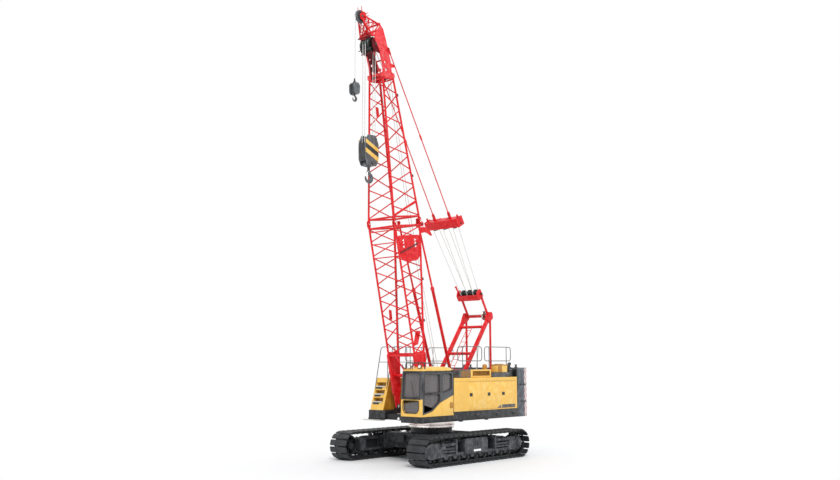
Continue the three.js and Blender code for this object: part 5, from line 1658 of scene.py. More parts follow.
@dataclass
class Boom:
    """The two lattice sections, the head with its sheaves, and the auxiliary tip."""

    joint: float = 6.74
    end: float = 12.05
    half: float = 0.642
    head_half: float = 0.339
    joint_depth: float = 0.682
    foot_depth: float = 0.08
    head_depth: float = 0.27
    plate_end: float = 1.9
    head_end: float = 13.94
    chord: float = 0.037
    lace: float = 0.0225
    bays: int = 9
    joint_roller: tuple[float, float] = (6.61, 0.83)
    head_roller: tuple[float, float] = (12.1, 0.36)
    hoist_rope: float = 0.011

    def __post_init__(self) -> None:
        """Works out the boom's own frame: +X to the head and +Z to its back."""
        self.place = aimed(FOOT, boom_spot(1.0, 0.0))

    def section(self, along: float) -> tuple[float, float]:
        """Half the width and half the depth at a place along the boom."""
        if along <= self.joint:
            return self.half, self.foot_depth + (self.joint_depth - self.foot_depth) * along / self.joint
        t = (along - self.joint) / (self.end - self.joint)
        return (self.half + (self.head_half - self.half) * t,
                self.joint_depth + (self.head_depth - self.joint_depth) * t)

    def point(self, along: float, side: int, back: int) -> Vector:
        """The middle of a chord."""
        half, depth = self.section(along)
        return Vector((along, side * half, back * depth))

    def lattice(self, start: float, end: float) -> Shape:
        """The zigzag lacing of the four faces."""
        faces = (((1, -1), (-1, -1), 0), ((1, 1), (-1, 1), 1), ((1, -1), (1, 1), 1), ((-1, -1), (-1, 1), 0))
        shape = Shape(self.place)
        for a, b, phase in faces:
            for i in range(self.bays):
                low = start + (end - start) * i / self.bays
                high = start + (end - start) * (i + 1) / self.bays
                p, q = (a, b) if (i + phase) % 2 else (b, a)
                foot, head = self.point(low + 0.042, *p), self.point(high - 0.042, *q)
                shape.tube(foot, head, self.lace, 12)
        return shape

    def ring(self, shape: Shape, along: float, radius: float) -> None:
        """Four round bars round the section."""
        corners = [self.point(along, side, back) for side, back in ((1, -1), (1, 1), (-1, 1), (-1, -1))]
        for first, second in zip(corners, corners[1:] + corners[:1]):
            shape.tube(first, second, radius, 14)

    def chords(self, start: float, end: float) -> Shape:
        """The four main tubes."""
        shape = Shape(self.place)
        for corner in CORNERS:
            shape.tube(self.point(start, *corner), self.point(end, *corner), self.chord, 24)
        return shape

    def lugs(self, shape: Shape, along: float, reach: float) -> None:
        """Fork and eye lugs of the pinned joint, at the ends of the four tubes."""
        for corner in CORNERS:
            p = self.point(along, *corner)
            low, high = sorted((p.x, p.x + reach))
            for y in (p.y - 0.04, p.y + 0.022):
                shape.plate([
                    (low, p.z - 0.062), (high, p.z - 0.062), (high, p.z + 0.062), (low, p.z + 0.062),
                ], Plane.SIDE, y, y + 0.018, 0.004, 0.035)
            shape.disc((along - math.copysign(0.05, reach), p.y, p.z), AHEAD, 0.06, 0.05, 0.01, 20)

    def base(self, shop: Shop) -> None:
        """The lower section with its foot plates."""
        chords = self.chords(self.plate_end - 0.08, self.joint - 0.12)
        self.ring(chords, self.joint - 0.165, 0.036)
        self.ring(chords, self.plate_end, 0.036)
        for drop in (0.3, 0.75, 1.25):
            chords.tube(self.point(self.joint - drop, -1, -1), self.point(self.joint - drop, 1, -1), 0.02,
                        12)
        chords.tube((1.15, -self.half, 0), (1.15, self.half, 0), 0.06, 24)
        for side in BOTH:
            chords.tube((1.15, 0, 0), (self.plate_end, side * (self.half - 0.03), 0.0), 0.028, 14)
        shop.piece("boom_base_tubes", chords, Finish.RED, "boom", ["boom_base"], smooth=40.0)
        shop.piece("boom_base_lacing", self.lattice(self.plate_end, self.joint - 0.16), Finish.RED, "boom",
                   smooth=40.0)
        plates = Shape(self.place)
        depth = self.section(self.plate_end)[1] + 0.045
        for side in BOTH:
            y = side * self.half
            gusset(plates, y, [
                (-0.095, -0.06), (-0.055, -0.1), (0.06, -0.12), (self.plate_end, -depth),
                (self.plate_end + 0.16, -depth - 0.01), (self.plate_end + 0.1, 0),
                (self.plate_end + 0.16, depth + 0.01),
                (self.plate_end, depth), (0.06, 0.12), (-0.055, 0.1), (-0.095, 0.06),
            ], 0.03, 0.02)
            for back in BOTH:
                plates.beam((0.48, y, back * (0.12 + (depth - 0.12) * 0.23)),
                            (self.plate_end + 0.05, y, back * depth),
                            0.022, 0.11, 0.005)
            plates.disc((0, y, 0), ACROSS, 0.11, 0.056, 0.008, 32)
            for x in (0.45, 0.85):
                plates.disc((x, y, 0), ACROSS, 0.05, 0.05, 0.008, 20)
        self.joint_plate(plates, self.half)
        self.lugs(plates, self.joint - 0.06, 0.16)
        shop.piece("boom_base_plates", plates, Finish.RED, "boom")
        marks = Shape(self.place)
        for i in range(3):
            at = self.joint - 0.7 - i * 0.115
            for up, turn in ((-0.33, 1), (0.33, -1)):
                marks.plate([(at, up - turn * 0.045), (at + 0.05, up + turn * 0.045),
                             (at - 0.05, up + turn * 0.045)],
                            Plane.SIDE, self.half + 0.008, self.half + 0.016, 0.0)
        shop.piece("plate_marks", marks, Finish.BLANK, "boom")
        trim = Shape(self.place)
        for side in BOTH:
            y = side * self.half
            trim.disc((0, y, 0), ACROSS, 0.056, 0.165, 0.01, 28)
            trim.disc((0, y, 0), ACROSS, 0.075, 0.13, 0.01, 6)
        shop.piece("boom_foot_pins", trim, Finish.PIN, "boom")

    def joint_plate(self, shape: Shape, y: float) -> None:
        """The wide plate in the left side face below the joint, with its shallow ribs."""
        low, high = self.joint - 1.46, self.joint - 0.52
        near, far = self.section(low)[1], self.section(high)[1]
        gusset(shape, y, [
            (low, -near + 0.2), (low + 0.14, -near + 0.03), (high, -far + 0.02),
            (high, far - 0.02), (low + 0.14, near - 0.03), (low, near - 0.2),
        ], 0.02, 0.12)
        shape.beam((low + 0.25, y + 0.012, -near + 0.12), (low + 0.25, y + 0.012, near - 0.12), 0.03, 0.014,
                   0.004)

    def top(self, shop: Shop) -> None:
        """The upper section."""
        chords = self.chords(self.joint + 0.12, self.end - 0.002)
        self.ring(chords, self.joint + 0.165, 0.036)
        self.ring(chords, self.end - 0.06, 0.028)
        shop.piece("boom_top_tubes", chords, Finish.RED, "boom", ["boom_top"], smooth=40.0)
        shop.piece("boom_top_lacing", self.lattice(self.joint + 0.16, self.end - 0.06), Finish.RED, "boom",
                   smooth=40.0)
        lugs = Shape(self.place)
        self.lugs(lugs, self.joint + 0.06, -0.15)
        lugs.tube(self.point(self.joint + 0.2, 1, -1), self.point(self.joint + 0.72, 1, 1), 0.042, 16)
        for at in (7.9, 9.1, 10.4):
            p = self.point(at, 1, -1)
            lugs.plate([
                (at - 0.12, p.y - 0.14), (at + 0.14, p.y - 0.2), (at + 0.1, p.y - 0.03),
                (at - 0.1, p.y - 0.03),
            ], Plane.FLAT, p.z + 0.05, p.z + 0.06, 0.002, 0.02)
        shop.piece("boom_joint_lugs", lugs, Finish.RED, "boom")
        pins = Shape(self.place)
        for side, back in CORNERS:
            p = self.point(self.joint, side, back)
            pins.disc(p, ACROSS, 0.028, 0.13, 0.006, 18)
            pins.tube((p.x, p.y + side * 0.05, p.z), (p.x - 0.07, p.y + side * 0.07, p.z - 0.02), 0.008, 8)
        shop.piece("boom_joint_pins", pins, Finish.PIN, "boom")

    def drills(self, holes: Sequence[Point]) -> Shape:
        """The tool for the round holes through a head plate."""
        tool = Shape()
        for at, up, radius in holes:
            tool.disc((at, self.head_half, up), ACROSS, radius, 0.2, 0.0, 28)
        return tool

    def head(self, shop: Shop) -> None:
        """The head's side plates with holes, a thin dark lining on their inner faces that paints their
        shade, the cheeks in a dark copy of the red paint for painted shade, guards and sheaves.
        """
        shape = Shape(self.place)
        y = self.head_half
        front = [(12.0, -0.226), (12.512, -0.23), (12.97, -0.315), (13.334, -0.41)]
        rear = [(self.head_end, -0.176), (13.802, -0.058), (13.391, 0.044), (13.022, 0.112),
                (12.652, 0.186),
                (12.0, 0.198)]
        side = Shape()
        gusset(side, y, [*front, (13.44, -0.54), (13.515, -0.56), (13.59, -0.5), *rear], 0.026, 0.03)
        holes = ((13.206, -0.115, 0.022), (12.81, -0.166, 0.04), (12.588, -0.094, 0.055),
                 (12.309, -0.063, 0.07))
        side.cut(self.drills(holes))
        for edge in (front, rear):
            for (x0, z0), (x1, z1) in zip(edge, edge[1:]):
                side.beam((x0, y, z0), (x1, y, z1), 0.014, 0.066, 0.004)
        for at, up, radius in holes[1:]:
            side.turned([
                (radius - 0.004, -0.02), (radius + 0.012, -0.02), (radius + 0.012, 0.02),
                (radius - 0.004, 0.02),
            ], (at, y, up), ACROSS, 28, True)
        gusset(side, y, [(12.06, -0.31), (12.2, -0.31), (12.26, -0.2), (12.26, 0.2), (12.2, 0.31),
                         (12.06, 0.31)],
               0.034, 0.03)
        gusset(side, y, [(12.39, 0.17), (12.44, 0.4), (12.53, 0.4), (12.6, 0.16)], 0.034, 0.03)
        gusset(side, y, [(12.96, 0.08), (13.03, 0.19), (13.15, 0.18), (13.2, 0.05)], 0.034, 0.03)
        side.disc((PENDANT_PIN[0], y, -PENDANT_PIN[1]), ACROSS, 0.07, 0.05, 0.008, 24)
        side.disc((13.86, y, -0.17), ACROSS, 0.05, 0.05, 0.008, 24)
        shape.take(side.both_sides().mesh)
        for along, up, radius in ((12.2, -0.13, 0.05), (12.2, 0.13, 0.05), (13.78, -0.18, 0.045),
                                  (12.75, 0.1, 0.03)):
            shape.tube((along, -y, up), (along, y, up), radius, 20)
        for corner in CORNERS:
            p = self.point(12.03, *corner)
            shape.box((12.033, p.y - 0.055, p.z - 0.055), (12.2, p.y + 0.055, p.z + 0.055), 0.012)
        # The head plates take the lighter copy of the red paint: painted sheen.
        shop.piece("head_plates", shape, Finish.PAINTED_SHEEN_RED, "boom", ["boom_head"], smooth=30.0)
        # A thin dark red sheet on the inner face of each head plate: painted shade.
        shade_lining = Shape()
        gusset(shade_lining, y - 0.019, [(12.03, -0.2), (12.5, -0.205), (12.96, -0.29), (13.32, -0.385),
                                   (13.46, -0.5),
                                   (13.88, -0.17), (13.78, -0.085), (13.38, 0.018), (13.01, 0.086),
                                   (12.64, 0.16),
                                   (12.03, 0.172)], 0.006, 0.02)
        shade_lining.cut(self.drills(holes))
        shade_lining_pair = Shape(self.place)
        shade_lining_pair.take(shade_lining.both_sides().mesh)
        shop.piece("head_shade_lining", shade_lining_pair, Finish.PAINTED_SHADE_RED, "boom", smooth=30.0)
        # The inner cheeks take the dark copy of the red paint: painted shade.
        cheeks = Shape(self.place)
        pin, front = HEAD_PIN
        for s in BOTH:
            gusset(cheeks, s * (y - 0.03), [
                (12.88, -0.25), (12.96, -0.56), (13.1, -0.65), (13.33, -0.65), (13.44, -0.56),
                (13.38, -0.3),
            ], 0.03, 0.05)
            cheeks.disc((pin, s * (y - 0.012), -front), ACROSS, 0.085, 0.03, 0.006, 28)
        for at, up in ((13.5, -0.7), (12.93, -0.6)):
            cheeks.tube((at, -y + 0.02, up), (at, y - 0.02, up), 0.022, 14)
        shop.piece("head_inner_cheeks", cheeks, Finish.PAINTED_SHADE_RED, "boom", smooth=40.0)
        dark = Shape(self.place)
        dark.tube((pin, -y - 0.02, -front), (pin, y + 0.02, -front), 0.04, 24)
        dark.tube((13.05, -y + 0.02, -0.73), (13.05, y - 0.02, -0.73), 0.016, 12)
        shop.piece("head_guards", dark, Finish.BLACK, "boom")
        wheels = Shape(self.place)
        for offset in (-0.18, -0.06, 0.06, 0.18):
            sheave(wheels, (pin, offset, -front), 0.27, 0.085)
        shop.piece("head_sheaves", wheels, Finish.GREASED, "boom", ["main_head_sheaves"],
                   smooth=30.0)

    def tip(self, shop: Shop) -> None:
        """The auxiliary tip: a tapering frame of tubes with one sheave."""
        rear, front = (13.98, -0.19), (13.54, -0.59)
        ax, az, r = TIP_PIN[0], -TIP_PIN[1], TIP_RADIUS
        root, end = 0.3, 0.095
        tails = ((rear, (ax + 0.06, az + 0.02)), (front, (ax - 0.06, az - 0.02)))
        shape = Shape(self.place)

        def spot(row: int, t: float, side: float) -> Vector:
            """A place on one of the four tubes, from its root to its end."""
            (x0, z0), (x1, z1) = tails[row]
            return Vector((x0 + (x1 - x0) * t, side * (root + (end - root) * t), z0 + (z1 - z0) * t))

        for s in BOTH:
            for row in (0, 1):
                shape.tube(spot(row, 0, s), spot(row, 1, s), 0.03, 16)
            shape.tube(spot(0, 0, s), spot(1, 0, s), 0.022, 14)
            for t in (0.3, 0.6):
                shape.tube(spot(0, t, s), spot(1, t, s), 0.015, 10)
                shape.tube(spot(0, t, s), spot(1, t - 0.3, s), 0.015, 10)
            gusset(shape, s * end, [
                (ax - 0.14, az + 0.19), (ax - 0.12, az - 0.08), (ax + 0.08, az - 0.1),
                (ax + 0.19, az + 0.1),
                (ax + 0.15, az + 0.21),
            ], 0.022, 0.03)
            for angle in (3, 62, 80):
                turn = Vector((math.cos(math.radians(angle)), 0, math.sin(math.radians(angle))))
                middle = Vector((ax, s * end, az))
                shape.tube(middle + turn * 0.16, middle + turn * 0.37, 0.02, 12, 0.01)
        for row in (0, 1):
            x, z = tails[row][0]
            shape.tube((x, -0.33, z), (x, 0.33, z), 0.034, 16)
            for s in BOTH:
                shape.disc((x, s * 0.3, z), ACROSS, 0.058, 0.07, 0.008, 20)
            for t in (0.3, 0.6):
                shape.tube(spot(row, t, -1), spot(row, t, 1), 0.015, 10)
            for s in BOTH:
                shape.tube(spot(row, 0.0, s), spot(row, 0.6, -s), 0.013, 10)
        shop.piece("auxiliary_tip_frame", shape, Finish.RED, "boom", ["auxiliary_tip"],
                   smooth=40.0)
        wheel = Shape(self.place)
        sheave(wheel, (ax, 0, az), r, 0.08, 36)
        wheel.tube((ax, -0.14, az), (ax, 0.14, az), 0.035, 20)
        shop.piece("auxiliary_tip_sheave", wheel, Finish.HOOK, "boom", smooth=30.0)

    def fittings(self, shop: Shop) -> None:
        """Rollers, brackets, cables and the hoist ropes that run along the back."""
        dark = Shape(self.place)
        for (at, up), wide in ((self.joint_roller, 0.62), (self.head_roller, 0.2)):
            dark.tube((at, -wide, up), (at, wide, up), 0.04, 18)
        for at, side in ((3.1, 1), (4.6, 1), (8.4, 1), (10.2, -1), (11.4, 1)):
            p = self.point(at, side, 1)
            dark.box((at - 0.05, p.y - 0.035, p.z + 0.03), (at + 0.05, p.y + 0.035, p.z + 0.09), 0.01)
        dark.tube((5.6, self.half + 0.03, -0.53), (5.91, self.half + 0.03, 0.45), 0.018, 10)
        cable = [
            self.point(at, -1, 1) + Vector((0, 0, lift))
            for at, lift in ((2.1, 0.058), (4.5, 0.058), (6.4, 0.058), (6.74, 0.12), (7.1, 0.058),
                             (9.5, 0.058),
                             (11.9, 0.058))
        ]
        dark.pipe(cable, 0.012, 0.08, 6, 3)
        shop.piece("boom_rollers_and_cables", dark, Finish.BLACK, "boom")
        red = Shape(self.place)
        for s in BOTH:
            for (at, up), wide in ((self.joint_roller, 0.59), (self.head_roller, 0.18)):
                red.plate(taper(at, up - 0.18, 0.09, up + 0.03, 0.05), Plane.SIDE, s * wide - 0.008,
                          s * wide + 0.008, 0.003, 0.02)
                red.disc((at, s * (wide + 0.015), up), ACROSS, 0.095, 0.025, 0.005, 20)
            gusset(red, s * 0.47, [
                (6.5, 0.66), (6.72, 0.66), (6.76, 0.79), (6.66, 0.84), (6.56, 0.79),
            ], 0.02, 0.03)
        gusset(red, 0.642, [
            (6.26, 0.64), (6.46, 0.64), (6.5, 0.84), (6.46, 1.02), (6.35, 1.17), (6.17, 1.28), (6.15, 1.24),
            (6.25, 1.08), (6.3, 0.9),
        ], 0.07, 0.02)
        for at, y, reach, tall, lean in ((3.37, -0.6, 0.21, 0.07, 0.0), (10.88, -0.34, 0.2, 0.07, 0.0),
                                         (2.5, 0.6, 0.27, 0.13, 0.1)):
            red.plate([
                (at - reach, -tall - lean), (at + reach, -tall + lean), (at + reach - 0.04, tall + lean),
                (at - reach + 0.04, tall - lean),
            ], Plane.SIDE, y - 0.01, y + 0.01, 0.003, 0.02)
        red.tube((6.6, -0.6, 0.67), (6.6, 0.6, 0.67), 0.036, 16)
        shop.piece("boom_roller_brackets", red, Finish.RED, "boom")
        ropes = Shape(self.place)
        low = Shape()
        near, near_up, far, far_up = self.joint_roller[0], 0.892, self.head_roller[0], 0.412
        top = boom_spot(near, -near_up)
        for y, end in ((-0.06, (13.3, -0.06, -0.23)), (0.06, (14.3, 0.0, -0.59))):
            rope(ropes, (near, y, near_up), (far, y, far_up), self.hoist_rope, 2)
            rope(ropes, (far, y, far_up), end, self.hoist_rope, 2)
            rope(low, (-0.6, y, 2.15), (top.x, y, top.z), self.hoist_rope, 24)
        shop.piece("hoist_ropes_on_boom", ropes, Finish.WIRE, "boom")
        obj = shop.loose("hoist_ropes_to_deck", low, Finish.WIRE)
        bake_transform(obj)

    def build(self, shop: Shop) -> None:
        """Builds the boom."""
        self.base(shop)
        self.top(shop)
        self.head(shop)
        self.tip(shop)
        self.fittings(shop)


@dataclass
class Gantry:
    """The red frame behind the boom, with its ladder, sheaves and rope guide."""

    foot: tuple[float, float] = (-0.29, 1.89)
    top: tuple[float, float] = GANTRY_PIN
    strut: tuple[float, float] = (-2.87, 1.89)
    half: float = 0.6
    leg: float = 0.15

    def at(self, t: float, y: float) -> Vector:
        """A place on the middle line of a leg."""
        return Vector((self.foot[0], y, self.foot[1])).lerp(Vector((self.top[0], y, self.top[1])), t)

    def build(self, shop: Shop) -> None:
        """Builds the frame, its ladder and its sheaves."""
        shape = Shape()
        for s in BOTH:
            y = s * self.half
            shape.beam(self.at(0.0, y), self.at(0.97, y), self.leg, 0.1, 0.01)
            shape.beam(self.at(0.03, y), self.at(0.93, y), self.leg + 0.028, 0.05, 0.006)
            shape.tube((self.strut[0], y, self.strut[1]), (self.top[0] - 0.02, y, self.top[1] - 0.06),
                       0.042, 20)
            for x, z in (self.strut, self.foot):
                gusset(shape, y, taper(x, z - 0.13, 0.13, z + 0.09, 0.09), 0.12, 0.04)
            x, z = self.top
            gusset(shape, y, [
                (x - 0.14, z - 0.13), (x + 0.13, z - 0.36), (x + 0.26, z - 0.24), (x + 0.1, z + 0.1),
                (x - 0.08, z + 0.1),
            ], 0.14, 0.04)
            shape.disc((x, y, z - 0.02), ACROSS, 0.1, 0.17, 0.01, 28)
            for t in (0.2, 0.4, 0.72):
                shape.disc(self.at(t, y + s * 0.052), ACROSS, 0.045, 0.014, 0.004, 20)
        for t, reach in ((0.56, self.half), (0.86, self.half), (0.985, 0.47)):
            shape.tube(self.at(t, -reach), self.at(t, reach), 0.055, 22)
        shape.tube((self.strut[0], -self.half, 2.9), (self.strut[0], self.half, 2.9), 0.035, 18)
        shop.piece("gantry_frame", shape, Finish.RED, "upperworks", ["gantry"], smooth=36.0)
        ladder = Shape()
        away, wide = Vector((0.09, 0, 0.07)), 0.12
        for y in (-wide, wide):
            ladder.tube(self.at(0.12, y) + away, self.at(0.84, y) + away, 0.012, 10)
        for i in range(11):
            t = 0.15 + i * 0.065
            ladder.tube(self.at(t, -wide) + away, self.at(t, wide) + away, 0.009, 8)
        for t in (0.24, 0.38):
            ladder.tube(self.at(t, -0.56), self.at(t, 0.56), 0.028, 14)
        shop.piece("gantry_ladder", ladder, Finish.RED, "upperworks")
        wheels = Shape()
        sheave(wheels, (self.top[0] + 0.03, 0.4, self.top[1] - 0.03), 0.2, 0.08)
        wheels.tube((self.top[0], -0.68, self.top[1] - 0.02), (self.top[0], 0.68, self.top[1] - 0.02),
                    0.045, 22)
        shop.piece("gantry_sheaves", wheels, Finish.PIN, "upperworks", smooth=30.0)
        guide = Shape()
        guide.tube((-0.6, -0.22, 2.1), (-0.6, 0.22, 2.1), 0.04, 18)
        for s in BOTH:
            guide.plate([(-0.68, 1.63), (-0.52, 1.63), (-0.56, 2.14), (-0.64, 2.14)], Plane.SIDE,
                        s * 0.2 - 0.01, s * 0.2 + 0.01, 0.003, 0.02)
        shop.piece("rope_guide", guide, Finish.BLACK, "upperworks")
        line = Shape()
        rope(line, (-2.08, 0.3, 2.02), (self.top[0] + 0.21, 0.4, self.top[1] - 0.03), 0.01, 4)
        rope(line, (-0.06, -0.06, 2.15), (-0.6, -0.06, 2.148), 0.01, 4)
        rope(line, (-1.56, 0.06, 2.18), (-0.6, 0.06, 2.148), 0.01, 4)
        shop.piece("luffing_rope_to_gantry", line, Finish.WIRE, "upperworks")


@dataclass
class Backstops:
    """The two telescoping tubes that keep the boom from falling back."""

    foot: tuple[float, float] = (-0.87, 2.2)
    eye: tuple[float, float] = (1.3, 8.705)
    half: float = 0.47
    tube_length: float = 4.3

    def build(self, shop: Shop) -> None:
        """Builds the tubes and the rods that slide in them."""
        foot, eye = Vector((self.foot[0], 0, self.foot[1])), Vector((self.eye[0], 0, self.eye[1]))
        place, length, reach = aimed(foot, eye), (eye - foot).length, self.tube_length
        tubes, rods = Shape(place), Shape(place)
        for s in BOTH:
            y = s * self.half
            tubes.turned([
                (0.046, 2.0), (0.046, reach), (0.052, reach + 0.005), (0.068, reach - 0.01),
                (0.07, reach - 0.12),
                (0.058, reach - 0.14), (0.058, 0.34), (0.04, 0.26), (0.01, 0.25), (0.01, 1.99),
            ], (0, y, 0), AHEAD, 24, True)
            tubes.plate([
                (0.32, -0.045), (0.32, 0.045), (0.06, 0.075), (-0.05, 0.06), (-0.075, 0), (-0.05, -0.06),
                (0.06, -0.075),
            ], Plane.SIDE, y - 0.033, y + 0.033, 0.006, 0.02)
            tubes.disc((0, y, 0), ACROSS, 0.03, 0.15, 0.006, 18)
            tubes.disc((reach - 0.06, y, 0), AHEAD, 0.078, 0.03, 0.006, 24)
            rods.tube((2.35, y, 0), (length - 0.05, y, 0), 0.036, 20)
            rods.disc((length, y, 0), ACROSS, 0.068, 0.066, 0.008, 24)
            rods.disc((length, y, 0), ACROSS, 0.03, 0.13, 0.006, 16)
        tubes.tube((0.9, -self.half, 0), (0.9, self.half, 0), 0.028, 16)
        shop.piece("backstop_cylinders", tubes, Finish.RED, "backstop_tubes",
                   ["backstop_tubes"], smooth=36.0)
        shop.piece("backstop_plungers", rods, Finish.RED, "backstop_rods", ["backstop_rods"],
                   36.0)


@dataclass
class Tackle:
    """The luffing tackle: the lower block, the wire falls, the spreader and the pendants."""

    block: float = 0.93
    block_half: float = 0.505
    spreader: float = 4.08
    pendant_half: float = 0.388
    falls: int = 3

    def build(self, shop: Shop) -> None:
        """Builds the tackle from the gantry's pin to the boom head."""
        pin = boom_spot(*PENDANT_PIN)
        place = aimed(GANTRY_TOP, pin)
        length = (pin - GANTRY_TOP).length
        low = Shape(place)
        at = self.block
        for s in BOTH:
            y = s * self.block_half
            gusset(low, y, [(0.05, -0.055), (at, -0.06), (at, 0.06), (0.05, 0.055)], 0.03, 0.03)
            gusset(low, y, [
                (at - 0.17, -0.22), (at + 0.06, -0.22), (at + 0.18, -0.1), (at + 0.19, 0.08),
                (at - 0.15, 0.11),
            ], 0.06, 0.03)
        low.box((at - 0.17, -0.52, -0.225), (at + 0.06, 0.52, -0.2), 0.008)
        low.box((at - 0.19, -0.52, -0.2), (at - 0.16, 0.52, 0.08), 0.006)
        low.tube((at + 0.02, -0.54, 0), (at + 0.34, -0.62, 0.04), 0.034, 16)
        low.disc((at + 0.35, -0.622, 0.042), AHEAD, 0.05, 0.04, 0.012, 20)
        shop.piece("tackle_block_housing", low, Finish.RED, "tackle_block", ["tackle_block"],
                   36.0)
        wheels = Shape(place)
        wheels.tube((at, -0.6, 0), (at, 0.6, 0), 0.04, 22)
        lower_y = [(i - (self.falls - 1) / 2) * 0.3 for i in range(self.falls)]
        upper_y = [(i - (self.falls - 1) / 2) * 0.5 for i in range(self.falls)]
        for y in lower_y:
            sheave(wheels, (at, y, 0), 0.19, 0.07)
        shop.piece("tackle_block_sheaves", wheels, Finish.GREASED, "tackle_block", smooth=30.0)
        top = self.spreader - 0.11
        red = Shape(place).box((self.spreader - 0.2, -0.79, -0.19), (self.spreader + 0.13, 0.79, 0.19),
                               0.02, 3)
        for y in (-0.8, -0.25, 0.25, 0.8):
            gusset(red, y, [
                (self.spreader - 0.22, -0.2), (self.spreader + 0.15, -0.2), (self.spreader + 0.15, 0.2),
                (self.spreader - 0.22, 0.2),
            ], 0.022, 0.03)
        for s in BOTH:
            y = s * self.pendant_half
            for dy in (-0.03, 0.018):
                red.plate([
                    (self.spreader + 0.1, -0.06), (self.spreader + 0.38, -0.05), (self.spreader + 0.42, 0),
                    (self.spreader + 0.38, 0.05), (self.spreader + 0.1, 0.06),
                ], Plane.SIDE, y + dy, y + dy + 0.012, 0.003, 0.02)
            red.tube((self.spreader + 0.3, y, 0), (length - 0.08, y, 0), 0.02, 20)
            joints = (self.spreader + 0.33, self.spreader + (length - self.spreader) * 0.5, length - 0.12)
            for x in joints:
                red.turned(there_and_back([(0, -0.11), (0.022, -0.11), (0.036, -0.08)]), (x, y, 0), AHEAD,
                           18)
            red.plate([
                (length - 0.12, -0.045), (length + 0.02, -0.05), (length + 0.055, 0), (length + 0.02, 0.05),
                (length - 0.12, 0.045),
            ], Plane.SIDE, y - 0.017, y + 0.017, 0.004, 0.02)
            gusset(red, s * 0.76, [
                (self.spreader + 0.1, -0.05), (self.spreader + 0.26, -0.04), (self.spreader + 0.26, 0.04),
                (self.spreader + 0.1, 0.05),
            ], 0.03, 0.03)
        shop.piece("spreader_and_pendants", red, Finish.RED, "spreader", ["spreader"],
                   smooth=36.0)
        wheels = Shape(place)
        wheels.tube((top, -0.83, 0), (top, 0.83, 0), 0.035, 20)
        for y in upper_y:
            sheave(wheels, (top, y, 0), 0.18, 0.07)
        for s in BOTH:
            for x in (self.spreader + 0.33, length):
                wheels.tube((x, s * self.pendant_half - 0.05, 0), (x, s * self.pendant_half + 0.05, 0),
                            0.018, 14)
        shop.piece("spreader_sheaves", wheels, Finish.GREASED, "spreader", smooth=30.0)
        wires = Shape(place)
        for low_y, high_y in zip(lower_y, upper_y):
            for edge in BOTH:
                rope(wires, (at, low_y, edge * 0.178), (top, high_y, edge * 0.168), 0.0105, 16)
        obj = shop.loose("luffing_falls", wires, Finish.WIRE)
        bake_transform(obj)


